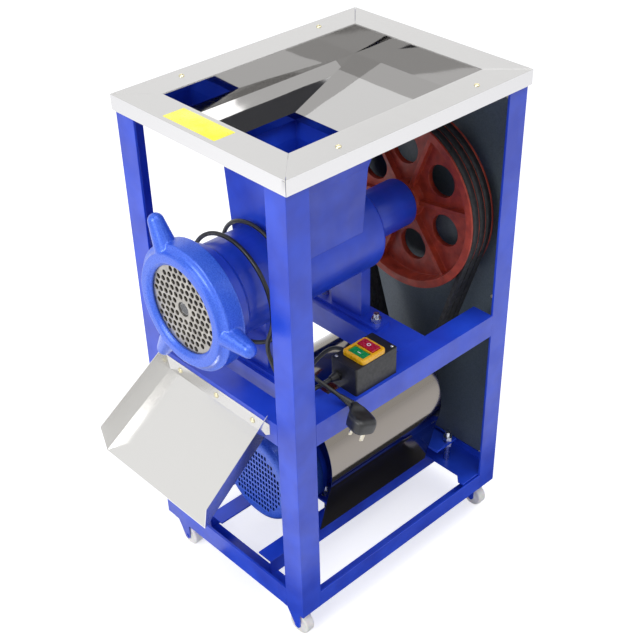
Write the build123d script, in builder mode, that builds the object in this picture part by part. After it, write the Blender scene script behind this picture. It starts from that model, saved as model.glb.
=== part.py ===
from build123d import *

import os
from math import asin, cos, degrees, pi, radians, sin, sqrt, tan

os.makedirs("parts", exist_ok=True)

# Meat grinder on a wheeled frame. Lengths are in mm: x to the right, y to the back, z up.
# The chute looks to the front, and the origin lies on the floor under the middle of the whole.

# Tray with its folded rim, and the frame under it
tray_width = 455
tray_depth = 600
tray_top = 1063
rim = 65
skirt = 29
sheet = 1.5
mitre_gap = 0.4
lap_side = 6.5
lap_end = 4

leg_size = 50
leg_wall = 5
top_rail_size = 30
top_rail_wall = 3
side_rail_size = 40
side_rail_wall = 4
mid_rail_top = 550

# Clearances: pieces of one body, a shaft that turns in its bore, and pieces that pass each other
snug = 0.05
running = 0.05
clear = 0.3

# Casters
caster_height = 75
caster_inset_x = 40.3
caster_inset_y = 24.3
caster_plate_size = 46
caster_plate_wall = 3
race_radius = 17
race_height = 6
pivot_radius = 5
wheel_radius = 25
wheel_width = 22
hub_radius = 9
axle_radius = 4
caster_trail = 9.5
cheek = 2.5
crown = 3
cheek_end_radius = 8

# Hopper pan let into the tray, and the welded throat under it
pan_wall_depth = 58
pan_fall = 25
pan_lip = 12
pan_collar = 15
mouth_half = 83
mouth_front_in = 136
mouth_length = 160
throat_wall = 6
throat_low_half = 82
throat_low_drop = 39
throat_half = 95
throat_flare_height = 55
throat_flare = 14

# Grinder, on one axis that runs from front to back
axis_z = 746
barrel_overhang = 48
barrel_length = 414
barrel_radius = 90
barrel_wall = 10
barrel_back_wall = 10
collar_radius = 100
collar_length = 59
collar_cone = 10
barrel_edge = 8
plate_radius = 88
plate_thickness = 12
plate_seat = 4
plate_hole_radius = 5.2
plate_hole_sides = 8
plate_hole_pitch = 14.6
plate_hole_field = 86
plate_pattern_turn = 9
pin_radius = 14
pin_sunk = 3
knife_thickness = 14.4
knife_arm = 24
knife_seat_radius = 20
worm_gap = 2
worm_pitch = 84
worm_core_front = 42
worm_core_back = 27
worm_flight_wall = 10
worm_back_gap = 6
worm_socket = 30
shaft_radius = 20
shaft_thread_radius = 12

# Ring nut
ring_radius = 122
ring_cover = 28
ring_front = 10
ring_edge = 13
ring_lip = 85
ring_mouth = 92
lug_reach = 176
lug_root_radius = 22
lug_tip_radius = 15
lug_turn = -4

# Bearing housing and pedestals
housing_radius = 50
housing_length = 128
housing_lip = 8
bearing_radius = 40
bearing_width = 20
cross_front_in = 78
cross_rear_in = 318
cross_rear_depth = 75
post_half = 43
post_thickness = 25
foot_half = 96
foot_depth = 40
foot_thickness = 8
foot_bolt_x = 76
bolt_radius = 6
nut_flats = 19
nut_height = 10

# Belt drive
pulley_gap = 2
pulley_radius = 190
pulley_width = 65
pulley_rim_inner = 174
pulley_web = 12
pulley_web_in = 28
pulley_hub_radius = 38
pulley_hub_in = 8
web_hole_radius = 34
web_hole_circle = 106
web_hole_count = 6
web_hole_turn = 38
rib_wall = 9
rib_height = 14
groove_pitch = 19
groove_count = 3
groove_depth = 13.5
belt_top = 17
belt_height = 11
belt_flank = 19
belt_below_rim = 0.5
motor_pulley_radius = 45

# Motor, its plate and the shield over it
motor_axis_z = 268
motor_radius = 87
motor_gap = 50
motor_length = 280
motor_boss = 10
motor_boss_radius = 35
motor_shaft_radius = 14
fan_cover_radius = 105
fan_cover_wall = 2
fan_cover_length = 95
fan_cover_lap = 5
fan_cover_edge = 14
vent_wide = 5.5
vent_high = 9
vent_pitch_x = 9
vent_pitch_z = 14
vent_field = 84
fan_radius = 88
fan_blades = 8
fan_width = 34
foot_height = 90
foot_reach = 95
foot_run = 150
ring_seat = 20
motor_plate_wall = 6
motor_slot_length = 26
motor_bar_half = 144
motor_bar_depth = 64
stud_radius = 6
stud_x = 133
stud_over = 12
shield_radius = 148
shield_rise = 47
shield_length = 325
shield_back_in = 15
shield_bend = 20
shield_lean = 13.5
shield_bottom = 135
motor_rail_size = 40
motor_rail_wall = 4
motor_rail_x = (-92, 68)
motor_rail_front_in = 34
base_plate_wall = 4
base_plate_depth = 80
base_upstand = 18
upstand_wall = 3
terminal_width = 96
terminal_depth = 84
terminal_top = 48
terminal_lid = 8

# Chute
chute_reach = 166
chute_top_z = 510
chute_tip_z = 397
chute_left_top = -145
chute_right_top = 138
chute_left_tip = -149
chute_right_tip = 152
chute_wall = 42
chute_flare = 12
flange_left = -174
flange_right = 152
flange_top = 541

# Switch box with its bezel and two buttons
box_left = 147
box_width = 67
box_front_in = 159
box_depth = 109
box_height = 60
bezel_width = 56
bezel_depth = 62
bezel_height = 10
bezel_wall = 7
bezel_bar = 3
button_gap = 0.4
button_travel = 3
start_proud = -2
stop_proud = 3
gland_length = 20
gland_radius = 10
gland_tip_radius = 6
gland_z = 25

# Cords
cord_diameter = 8.5
lead_diameter = 8

# What follows from the sizes above
half_tray = tray_width / 2
half_frame = half_tray - lap_side
frame_depth = tray_depth - 2 * lap_end
mid_y = (frame_depth / 2 + chute_reach - tray_depth / 2) / 2
front_y = mid_y - frame_depth / 2
back_y = mid_y + frame_depth / 2
tray_front = mid_y - tray_depth / 2
rim_under = tray_top - sheet
inner_half = half_frame - leg_wall


def keep(piece, name):
    """Label a finished piece and write it to its own file."""
    piece.part.label = name
    export_step(piece.part, f"parts/{name}.step")


def upright(y, z=0, x=0):
    """Plane that faces the front, with its x to the right and its y up."""
    return Plane(origin=(x, y, z), x_dir=(1, 0, 0), z_dir=(0, -1, 0))


def side_on(z, x=0):
    """Plane that faces the right, with its x to the back and its y up."""
    return Plane(origin=(x, 0, z), x_dir=(0, 1, 0), z_dir=(1, 0, 0))


def angle_section(wide, high, wall):
    """L section with its corner at the origin, one flange along x and one along y."""
    with BuildSketch() as section:
        Rectangle(wide, wall, align=(Align.MIN, Align.MIN))
        Rectangle(wall, high, align=(Align.MIN, Align.MIN))
    return section.sketch


leg_section = angle_section(leg_size, leg_size, leg_wall)
top_rail_section = angle_section(top_rail_size, top_rail_size, top_rail_wall)
side_rail_section = angle_section(side_rail_size, side_rail_size, side_rail_wall)
cross_rear_section = angle_section(leg_size, cross_rear_depth, leg_wall)
motor_rail_section = angle_section(motor_rail_size, motor_rail_size, motor_rail_wall)

# Legs: angle bars with their flanges along the outer faces of the frame
corner_turns = {
    "leg_front_left": (-half_frame, front_y, 0),
    "leg_front_right": (half_frame, front_y, 90),
    "leg_rear_right": (half_frame, back_y, 180),
    "leg_rear_left": (-half_frame, back_y, 270),
}
for name, (x, y, turn) in corner_turns.items():
    with BuildPart() as leg:
        inward = Vector(1, 0, 0).rotate(Axis.Z, turn)
        with BuildSketch(Plane(origin=(x, y, caster_height), x_dir=inward, z_dir=(0, 0, 1))):
            add(leg_section)
        extrude(amount=rim_under - caster_height)
    keep(leg, name)


def side_runs(z, flange, size):
    """Planes and lengths for bars between the legs, on the left, right, front and back."""
    down = (0, 0, -flange)
    run_y = frame_depth - 2 * size
    run_x = 2 * half_frame - 2 * size
    starts = (
        ((half_frame, front_y + size, z), (0, flange, 0), run_y),
        ((-half_frame, back_y - size, z), (0, -flange, 0), run_y),
        ((-half_frame + size, front_y, z), (flange, 0, 0), run_x),
        ((half_frame - size, back_y, z), (-flange, 0, 0), run_x),
    )
    return [(Plane(origin=start, x_dir=down, z_dir=along), run) for start, along, run in starts]


# Top rails: four small angle bars close under the rim
with BuildPart() as top_rails:
    for plane, run in side_runs(rim_under, 1, leg_size):
        with BuildSketch(plane):
            add(top_rail_section)
        extrude(amount=run)
keep(top_rails, "top_rails")

# Middle rails: right, left and front, with the flat flange on top
right_run, left_run, front_run, back_run = side_runs(mid_rail_top, 1, leg_size)
for name, (plane, run) in (
    ("mid_rail_right", right_run),
    ("mid_rail_left", left_run),
    ("mid_rail_front", front_run),
):
    with BuildPart() as mid_rail:
        with BuildSketch(plane):
            add(leg_section)
        extrude(amount=run)
    keep(mid_rail, name)

# Cross members that carry the grinder, butted between the middle rails
cross_run = 2 * (half_frame - leg_size)
cross_front_y = front_y + cross_front_in
cross_rear_y = front_y + cross_rear_in
for name, y, section in (
    ("cross_member_front", cross_front_y, leg_section),
    ("cross_member_rear", cross_rear_y, cross_rear_section),
):
    with BuildPart() as cross_member:
        corner = (-cross_run / 2, y, mid_rail_top)
        with BuildSketch(Plane(origin=corner, x_dir=(0, 0, -1), z_dir=(1, 0, 0))):
            add(section)
        extrude(amount=cross_run)
    keep(cross_member, name)

# Bottom rails: the flat flange lies low, and front and back bars are as large as the legs
with BuildPart() as bottom_rails:
    for side in (-1, 1):
        start = (side * half_frame, mid_y + side * (frame_depth / 2 - leg_size), caster_height)
        with BuildSketch(Plane(origin=start, x_dir=(0, 0, 1), z_dir=(0, -side, 0))):
            add(side_rail_section)
        extrude(amount=frame_depth - 2 * leg_size)
        start = (side * (half_frame - leg_size), mid_y - side * frame_depth / 2, caster_height)
        with BuildSketch(Plane(origin=start, x_dir=(0, 0, 1), z_dir=(-side, 0, 0))):
            add(leg_section)
        extrude(amount=cross_run)
keep(bottom_rails, "bottom_rails")

# Motor rails: their ends are notched over the flat flanges of the front and back rails
motor_rail_top = caster_height + motor_rail_size
motor_rail_front = front_y + motor_rail_front_in
motor_rail_back = back_y - motor_rail_front_in
flange_end = front_y + leg_size
with BuildPart() as motor_rails:
    for x, side in zip(motor_rail_x, (-1, 1)):
        corner = (x + side * motor_rail_size / 2, motor_rail_front, motor_rail_top)
        across = (-side, 0, 0)
        along = (0, 1, 0)
        mirrored = Plane(origin=corner, x_dir=across, z_dir=along)
        with BuildSketch(mirrored) as rail_face:
            add(motor_rail_section.mirror(Plane.XZ) if side == 1 else motor_rail_section)
        extrude(amount=motor_rail_back - motor_rail_front)
    for y in (flange_end - leg_size, back_y - leg_size):
        with BuildSketch(Plane.XY.offset(caster_height)):
            with Locations((0, y)):
                Rectangle(2 * half_frame, leg_size + clear, align=(Align.CENTER, Align.MIN))
        extrude(amount=leg_wall, mode=Mode.SUBTRACT)
keep(motor_rails, "motor_rails")

# Rear base plate: lies on the motor rails, with gussets at its corners and an upstand behind
base_back = back_y - leg_wall - sheet
base_front = base_back - base_plate_depth
base_top = motor_rail_top + base_plate_wall
gusset = 15
with BuildPart() as rear_base_plate:
    with BuildSketch(Plane.XY.offset(motor_rail_top)):
        with BuildLine():
            Polyline(
                (-inner_half, base_back),
                (-inner_half, base_front - gusset),
                (-inner_half + gusset, base_front - gusset),
                (-inner_half + 2 * gusset, base_front),
                (inner_half - 2 * gusset, base_front),
                (inner_half - gusset, base_front - gusset),
                (inner_half, base_front - gusset),
                (inner_half, base_back),
                close=True,
            )
        make_face()
    extrude(amount=base_plate_wall)
    with BuildSketch(upright(base_back, base_top)):
        Rectangle(2 * inner_half, base_upstand, align=(Align.CENTER, Align.MIN))
    extrude(amount=upstand_wall)
keep(rear_base_plate, "rear_base_plate")

# Rear cover: a plain sheet against the insides of the rear legs
cover_margin = 6
with BuildPart() as rear_cover:
    with BuildSketch(upright(back_y - leg_wall, base_top)):
        Rectangle(
            2 * (inner_half - clear),
            rim_under - top_rail_size - cover_margin - base_top,
            align=(Align.CENTER, Align.MIN),
        )
    extrude(amount=sheet)
keep(rear_cover, "rear_cover")

# Casters: the plate carries a race and a pivot pin, and the fork trails behind the pivot
fork_top = caster_height - caster_plate_wall - race_height - clear
fork_inside = wheel_width + 4
fork_outside = fork_inside + 2 * cheek
caster_x = half_frame - caster_inset_x
caster_y = frame_depth / 2 - caster_inset_y
caster_places = {
    "front_left": (-caster_x, mid_y - caster_y, 0),
    "front_right": (caster_x, mid_y - caster_y, 2),
    "rear_left": (-caster_x, mid_y + caster_y, 3),
    "rear_right": (caster_x, mid_y + caster_y, 0),
}

with BuildPart() as caster_plates:
    for x, y, turn in caster_places.values():
        with BuildSketch(Plane.XY.offset(caster_height)):
            with Locations((x, y)):
                RectangleRounded(caster_plate_size, caster_plate_size, 6)
        extrude(amount=-caster_plate_wall)
        with BuildSketch(Plane.XY.offset(caster_height - caster_plate_wall)):
            with Locations((x, y)):
                Circle(race_radius)
        extrude(amount=-race_height)
        with BuildSketch(Plane.XY.offset(fork_top + clear)):
            with Locations((x, y)):
                Circle(pivot_radius)
        extrude(amount=-(crown + 2 * clear + 1))
keep(caster_plates, "caster_plates")

for place, (x, y, turn) in caster_places.items():
    way = Vector(1, 0, 0).rotate(Axis.Z, turn)
    across = Vector(0, -1, 0).rotate(Axis.Z, turn)
    side = Plane(origin=(x, y, 0), x_dir=way, z_dir=across)
    pivot = Plane(origin=(x, y, 0), x_dir=way, z_dir=(0, 0, 1))
    with BuildPart() as caster_fork:
        with BuildSketch(side):
            with BuildLine():
                Polyline(
                    (-race_radius, fork_top),
                    (race_radius, fork_top),
                    (race_radius + 1, fork_top - crown),
                    (caster_trail + cheek_end_radius, wheel_radius),
                    (caster_trail, wheel_radius - cheek_end_radius),
                    (caster_trail - cheek_end_radius, wheel_radius),
                    (-race_radius, fork_top - crown - 4),
                    close=True,
                )
            make_face()
            with Locations((caster_trail, wheel_radius)):
                Circle(cheek_end_radius)
        extrude(amount=fork_outside / 2, both=True)
        with BuildSketch(side):
            Rectangle(4 * wheel_radius, fork_top - crown, align=(Align.CENTER, Align.MIN))
        extrude(amount=fork_inside / 2, both=True, mode=Mode.SUBTRACT)
        with BuildSketch(side):
            with Locations((caster_trail, wheel_radius)):
                Circle(axle_radius + snug)
        extrude(amount=fork_outside, both=True, mode=Mode.SUBTRACT)
        with BuildSketch(pivot.offset(fork_top)):
            Circle(pivot_radius + running)
        extrude(amount=-2 * crown, mode=Mode.SUBTRACT)
        with BuildSketch(side):
            with Locations((caster_trail, wheel_radius)):
                Circle(axle_radius)
        extrude(amount=fork_outside / 2 + 1.5, both=True)
    keep(caster_fork, f"caster_fork_{place}")

    with BuildPart() as caster_wheel:
        with BuildSketch(side):
            with Locations((caster_trail, wheel_radius)):
                Circle(wheel_radius)
        extrude(amount=wheel_width / 2, both=True)
        fillet(caster_wheel.edges().filter_by(GeomType.CIRCLE), 4)
        with BuildSketch(side):
            with Locations((caster_trail, wheel_radius)):
                Circle(hub_radius)
        extrude(amount=fork_inside / 2 - clear, both=True)
        with BuildSketch(side):
            with Locations((caster_trail, wheel_radius)):
                Circle(axle_radius + running)
        extrude(amount=wheel_width, both=True, mode=Mode.SUBTRACT)
    keep(caster_wheel, f"caster_wheel_{place}")


# Tray rim: four mitred strips, each with a skirt folded down
def mitred(half_length, depth):
    """Strip along x whose ends are cut at 45 degrees, with its outer edge on the x axis."""
    half = half_length - mitre_gap
    with BuildSketch() as strip:
        with BuildLine():
            Polyline((-half, 0), (half, 0), (half - depth, depth), (-half + depth, depth), close=True)
        make_face()
    return strip.sketch


rim_sides = (
    ((0, tray_front), half_tray, 0),
    ((half_tray, mid_y), tray_depth / 2, 90),
    ((0, tray_front + tray_depth), half_tray, 180),
    ((-half_tray, mid_y), tray_depth / 2, 270),
)
with BuildPart() as tray_rim:
    for (x, y), half_length, turn in rim_sides:
        flat = mitred(half_length, rim)
        fold = mitred(half_length, sheet)
        way = Vector(1, 0, 0).rotate(Axis.Z, turn)
        with BuildSketch(Plane(origin=(x, y, tray_top), x_dir=way, z_dir=(0, 0, 1))):
            add(flat)
        extrude(amount=-sheet)
        with BuildSketch(Plane(origin=(x, y, rim_under), x_dir=way, z_dir=(0, 0, 1))):
            add(fold)
        extrude(amount=-(skirt - sheet))
keep(tray_rim, "tray_rim")

# Hopper pan: upright walls, four panels that fall to the mouth, and a short collar below it
pan_half_x = half_tray - rim
pan_half_y = tray_depth / 2 - rim
pan_low = rim_under - pan_wall_depth
mouth_z = pan_low - pan_fall
mouth_y = front_y + mouth_front_in + mouth_length / 2
panel_drop = sheet * 1.1


def pan_body(inset, drop, mouth_bottom):
    """Solid inside of the pan, drawn in by the inset and lowered by the drop."""
    with BuildPart() as body:
        with BuildSketch(Plane.XY.offset(pan_low - drop)):
            with Locations((0, mid_y)):
                Rectangle(2 * (pan_half_x - inset), 2 * (pan_half_y - inset))
        extrude(amount=rim_under - pan_low + drop)
        with BuildSketch(Plane.XY.offset(pan_low - drop)):
            with Locations((0, mid_y)):
                Rectangle(2 * (pan_half_x - inset), 2 * (pan_half_y - inset))
        with BuildSketch(Plane.XY.offset(mouth_z - drop)):
            with Locations((0, mouth_y)):
                Rectangle(2 * (mouth_half - inset), mouth_length - 2 * inset)
        loft(ruled=True)
        with BuildSketch(Plane.XY.offset(mouth_z - drop)):
            with Locations((0, mouth_y)):
                Rectangle(2 * (mouth_half - inset), mouth_length - 2 * inset)
        extrude(amount=mouth_bottom - mouth_z + drop)
    return body.part


pan_outside = pan_body(0, panel_drop, mouth_z - pan_collar)
pan_inside = pan_body(sheet, 0, mouth_z - pan_collar - 1)
with BuildPart() as hopper_pan:
    with BuildSketch(Plane.XY.offset(rim_under)):
        with Locations((0, mid_y)):
            Rectangle(2 * (pan_half_x + pan_lip), 2 * (pan_half_y + pan_lip))
    extrude(amount=-sheet)
    add(pan_outside)
    add(pan_inside, mode=Mode.SUBTRACT)
keep(hopper_pan, "hopper_pan")

# Throat: a welded box on the barrel, leaning out a little and flared close under the pan
throat_top = mouth_z
throat_flare_z = throat_top - throat_flare_height
throat_low = axis_z + throat_low_drop
throat_front = mouth_y - mouth_length / 2 - throat_wall
throat_back = mouth_y + mouth_length / 2 + 2 * throat_wall
barrel_front = front_y - barrel_overhang
barrel_back = barrel_front + barrel_length
bore_radius = barrel_radius - barrel_wall
grinder_axis = Axis(origin=(0, 0, axis_z), direction=(0, 1, 0))


def throat_body(inset, bottom):
    """Outline of the throat as a solid, drawn in by the inset."""
    low_z = throat_low if inset == 0 else bottom
    levels = (
        (low_z, throat_low_half, 0),
        (throat_flare_z, throat_half, 0),
        (throat_top, throat_half + throat_flare, throat_flare),
    )
    with BuildPart() as body:
        for lower, upper in zip(levels, levels[1:]):
            for z, half, spread in (lower, upper):
                with BuildSketch(Plane.XY.offset(z)):
                    with Locations((0, (throat_front + throat_back) / 2)):
                        Rectangle(
                            2 * (half - inset),
                            throat_back - throat_front + 2 * (spread - inset),
                        )
            loft(ruled=True)
    return body.part


throat_outside = throat_body(0, throat_low)
throat_inside = throat_body(throat_wall, throat_low)
with BuildPart() as throat_box:
    add(throat_outside)
    add(throat_inside, mode=Mode.SUBTRACT)
    with BuildSketch(upright(barrel_front, axis_z)):
        Circle(barrel_radius + snug)
    extrude(amount=-barrel_length, mode=Mode.SUBTRACT)
keep(throat_box, "throat_box")

# Barrel: collar and plate seat in front, feed opening on top, a wall with the shaft hole behind
plate_back = barrel_front + plate_seat
plate_front = plate_back - plate_thickness
collar_back = barrel_front + collar_length
with BuildPart() as barrel:
    with BuildSketch(side_on(axis_z)):
        with BuildLine():
            Polyline(
                (barrel_front, plate_radius + snug),
                (barrel_front, collar_radius),
                (collar_back, collar_radius),
                (collar_back + collar_cone, barrel_radius),
                (barrel_back, barrel_radius),
                (barrel_back, shaft_radius + 1),
                (barrel_back - barrel_back_wall, shaft_radius + 1),
                (barrel_back - barrel_back_wall, bore_radius),
                (plate_back, bore_radius),
                (plate_back, plate_radius + snug),
                close=True,
            )
        make_face()
    revolve(axis=grinder_axis)
    fillet(barrel.edges().filter_by(GeomType.CIRCLE).group_by(Axis.Y)[-1].sort_by(SortBy.RADIUS)[-1], barrel_edge)
    with BuildSketch(Plane.XY.offset(axis_z)):
        with Locations((0, mouth_y)):
            Rectangle(2 * (throat_low_half - 2 * throat_wall), mouth_length)
    extrude(amount=barrel_radius + 1, mode=Mode.SUBTRACT)
keep(barrel, "barrel")

# Bearing housing behind the barrel, with two ball bearings
housing_back = barrel_back + housing_length
with BuildPart() as bearing_housing:
    with BuildSketch(side_on(axis_z)):
        with BuildLine():
            Polyline(
                (barrel_back, shaft_radius + 1),
                (barrel_back, housing_radius),
                (housing_back, housing_radius),
                (housing_back, shaft_radius + 1),
                (housing_back - housing_lip, shaft_radius + 1),
                (housing_back - housing_lip, bearing_radius + snug),
                (barrel_back + housing_lip, bearing_radius + snug),
                (barrel_back + housing_lip, shaft_radius + 1),
                close=True,
            )
        make_face()
    revolve(axis=grinder_axis)
    fillet(bearing_housing.edges().group_by(Axis.Y)[-1].sort_by(SortBy.RADIUS)[-1], 4)
keep(bearing_housing, "bearing_housing")

with BuildPart() as shaft_bearings:
    for y in (barrel_back + housing_lip, housing_back - housing_lip - bearing_width):
        with BuildSketch(upright(y, axis_z)):
            Circle(bearing_radius)
            Circle(shaft_radius + running, mode=Mode.SUBTRACT)
        extrude(amount=-bearing_width)
keep(shaft_bearings, "shaft_bearings")

# Pedestals: a foot plate on the cross member and a post hollowed to the barrel
foot_bolts_at = []
for name, cross_y, cross_depth, at_back in (
    ("pedestal_front", cross_front_y, leg_size, False),
    ("pedestal_rear", cross_rear_y, cross_rear_depth, True),
):
    foot_y = cross_y + (cross_depth + leg_wall) / 2 - (5 if at_back else 0)
    post_y = foot_y + (2.5 if at_back else 0)
    foot_bolts_at += [(-foot_bolt_x, foot_y), (foot_bolt_x, foot_y)]
    with BuildPart() as pedestal:
        with BuildSketch(Plane.XY.offset(mid_rail_top)):
            with Locations((0, foot_y)):
                RectangleRounded(2 * foot_half, foot_depth, 4)
            with Locations((-foot_bolt_x, foot_y), (foot_bolt_x, foot_y)):
                Circle(bolt_radius + 0.5, mode=Mode.SUBTRACT)
        extrude(amount=foot_thickness)
        with BuildSketch(Plane.XY.offset(mid_rail_top + foot_thickness)):
            with Locations((0, post_y)):
                Rectangle(2 * post_half, post_thickness)
        extrude(amount=axis_z - mid_rail_top - foot_thickness)
        with BuildSketch(upright(post_y - post_thickness, axis_z)):
            Circle(barrel_radius + snug)
        extrude(amount=-2 * post_thickness, mode=Mode.SUBTRACT)
        split(bisect_by=Plane.XY.offset(axis_z - barrel_radius * 0.8), keep=Keep.BOTTOM)
    keep(pedestal, name)

with BuildPart() as foot_bolts:
    for x, y in foot_bolts_at:
        with BuildSketch(Plane.XY.offset(mid_rail_top + foot_thickness)):
            with Locations((x, y)):
                RegularPolygon(nut_flats / 2, 6, major_radius=False)
        extrude(amount=nut_height)
        with BuildSketch(Plane.XY.offset(mid_rail_top + foot_thickness + nut_height)):
            with Locations((x, y)):
                Circle(bolt_radius)
        extrude(amount=nut_height)
        with BuildSketch(Plane.XY.offset(mid_rail_top + foot_thickness)):
            with Locations((x, y)):
                Circle(bolt_radius)
        extrude(amount=-foot_thickness)
keep(foot_bolts, "foot_bolts")

# Perforated plate: holes in a triangular pattern, with the innermost ring left whole
hole_places = []
ring_count = int(plate_hole_field / plate_hole_pitch) + 2
for i in range(-ring_count, ring_count + 1):
    for j in range(-ring_count, ring_count + 1):
        x = plate_hole_pitch * (i + j / 2)
        y = plate_hole_pitch * j * sqrt(3) / 2
        reach = sqrt(x * x + y * y)
        if plate_hole_pitch * 1.2 < reach < plate_hole_field - plate_hole_radius:
            hole_places.append(Vector(x, y).rotate(Axis.Z, plate_pattern_turn))
with BuildPart() as perforated_plate:
    with BuildSketch(upright(plate_front, axis_z)):
        Circle(plate_radius)
        Circle(pin_radius + running, mode=Mode.SUBTRACT)
        with Locations(*hole_places):
            RegularPolygon(plate_hole_radius, plate_hole_sides, mode=Mode.SUBTRACT)
    extrude(amount=-plate_thickness)
keep(perforated_plate, "perforated_plate")

# Knife: four arms that sweep the back of the plate
knife_back = plate_back + clear + knife_thickness
with BuildPart() as cutting_knife:
    with BuildSketch(upright(plate_back + clear, axis_z)):
        Circle(knife_seat_radius + 10)
        for turn in range(0, 360, 90):
            with BuildLine():
                reach = bore_radius - worm_gap
                lead = Vector(reach, 0).rotate(Axis.Z, turn + 8)
                trail = Vector(reach, 0).rotate(Axis.Z, turn - 8)
                root_a = Vector(knife_seat_radius + 4, knife_arm / 2 + 2).rotate(Axis.Z, turn)
                root_b = Vector(knife_seat_radius + 4, -knife_arm / 2).rotate(Axis.Z, turn)
                Polyline(root_b, trail, lead, root_a, close=True)
            make_face()
        Circle(knife_seat_radius + snug, mode=Mode.SUBTRACT)
    extrude(amount=-knife_thickness)
keep(cutting_knife, "cutting_knife")

# Feed worm: a tapered core with one flight, the knife seat and the pin that turns in the plate
worm_front = knife_back + clear
worm_back = barrel_back - barrel_back_wall - worm_back_gap
flight_radius = bore_radius - worm_gap
flight_length = worm_back - worm_front - worm_flight_wall
with BuildPart() as worm:
    with BuildLine() as flight_path:
        Helix(
            pitch=worm_pitch,
            height=flight_length,
            radius=worm_core_back,
            center=(0, worm_front + worm_flight_wall / 2, axis_z),
            direction=(0, 1, 0),
        )
    with BuildSketch(Plane(flight_path.line @ 0, x_dir=(0, 1, 0), z_dir=flight_path.line % 0)):
        Rectangle(worm_flight_wall, flight_radius - worm_core_back, align=(Align.CENTER, Align.MIN))
    sweep(path=flight_path.line, is_frenet=True)
    with BuildSketch(side_on(axis_z)):
        with BuildLine():
            Polyline(
                (worm_front, 0),
                (worm_front, worm_core_front),
                (worm_back, worm_core_back + 1),
                (worm_back, shaft_radius + snug),
                (worm_back - worm_socket, shaft_radius + snug),
                (worm_back - worm_socket, 0),
                close=True,
            )
        make_face()
    revolve(axis=grinder_axis)
    with BuildSketch(upright(worm_front, axis_z)):
        Circle(knife_seat_radius)
    extrude(amount=knife_thickness + clear)
    with BuildSketch(upright(plate_back + clear, axis_z)):
        Circle(pin_radius)
    extrude(amount=plate_thickness - pin_sunk + clear)
keep(worm, "worm")

# Main shaft, from its socket in the worm to the thread behind the pulley
pulley_front = housing_back + pulley_gap
pulley_back = pulley_front + pulley_width
shaft_front = worm_back - worm_socket + 1
washer = 2
thread_length = 19
with BuildPart() as main_shaft:
    with BuildSketch(upright(shaft_front, axis_z)):
        Circle(shaft_radius)
    extrude(amount=-(pulley_back - clear - shaft_front))
    with BuildSketch(upright(pulley_back - clear, axis_z)):
        Circle(shaft_thread_radius)
    extrude(amount=-(thread_length + clear))
    chamfer(main_shaft.edges().group_by(Axis.Y)[-1], 1)
keep(main_shaft, "main_shaft")

with BuildPart() as shaft_nut:
    with BuildSketch(upright(pulley_back, axis_z)):
        Circle(shaft_radius + 6)
        Circle(shaft_thread_radius + snug, mode=Mode.SUBTRACT)
    extrude(amount=-washer)
    with BuildSketch(upright(pulley_back + washer, axis_z)):
        RegularPolygon(18, 6, major_radius=False)
        Circle(shaft_thread_radius + snug, mode=Mode.SUBTRACT)
    extrude(amount=-(thread_length - washer - 4))
keep(shaft_nut, "shaft_nut")

# Ring nut: screws over the collar, its lip holds the plate, and three lugs take a bar
ring_back = barrel_front + ring_cover + 4
ring_nose = plate_front - ring_front
lug_y = plate_front + plate_thickness
with BuildPart() as ring_nut:
    with BuildSketch(side_on(axis_z)):
        with BuildLine():
            Line((ring_back, collar_radius + running), (ring_back, ring_radius))
            Line((ring_back, ring_radius), (ring_nose + ring_edge, ring_radius))
            RadiusArc(
                (ring_nose + ring_edge, ring_radius), (ring_nose, ring_radius - ring_edge), ring_edge
            )
            Polyline(
                (ring_nose, ring_radius - ring_edge),
                (ring_nose, ring_mouth),
                (plate_front - 4, ring_lip),
                (plate_front - clear, ring_lip),
                (plate_front - clear, plate_radius + clear),
                (barrel_front - clear, plate_radius + clear),
                (barrel_front - clear, collar_radius + running),
                (ring_back, collar_radius + running),
            )
        make_face()
    revolve(axis=grinder_axis)
    for turn in (0, 120, 240):
        angle = radians(lug_turn + turn)
        radial = Vector(cos(angle), 0, sin(angle))
        centre = Vector(0, lug_y, axis_z)
        with BuildSketch(Plane(origin=centre, x_dir=radial, z_dir=(-sin(angle), 0, cos(angle)))):
            with BuildLine():
                tip_centre = lug_reach - lug_tip_radius
                root = ring_radius - 12
                Polyline(
                    (root, 0),
                    (root, lug_root_radius),
                    (tip_centre, lug_tip_radius),
                )
                RadiusArc((tip_centre, lug_tip_radius), (lug_reach, 0), lug_tip_radius)
                Line((lug_reach, 0), (root, 0))
            make_face()
        revolve(axis=Axis(origin=centre, direction=radial))
keep(ring_nut, "ring_nut")


def groove_profile(radius, front, width):
    """Points of a rim with its V-grooves, from its front edge to its back edge."""
    half_top = belt_top / 2 + clear / cos(radians(belt_flank)) + belt_below_rim * tan(radians(belt_flank))
    half_floor = half_top - groove_depth * tan(radians(belt_flank))
    middle = front + width / 2
    points = [(front, radius)]
    for index in range(groove_count):
        y = middle + (index - (groove_count - 1) / 2) * groove_pitch
        points += [
            (y - half_top, radius),
            (y - half_floor, radius - groove_depth),
            (y + half_floor, radius - groove_depth),
            (y + half_top, radius),
        ]
    return points + [(front + width, radius)]


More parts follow.
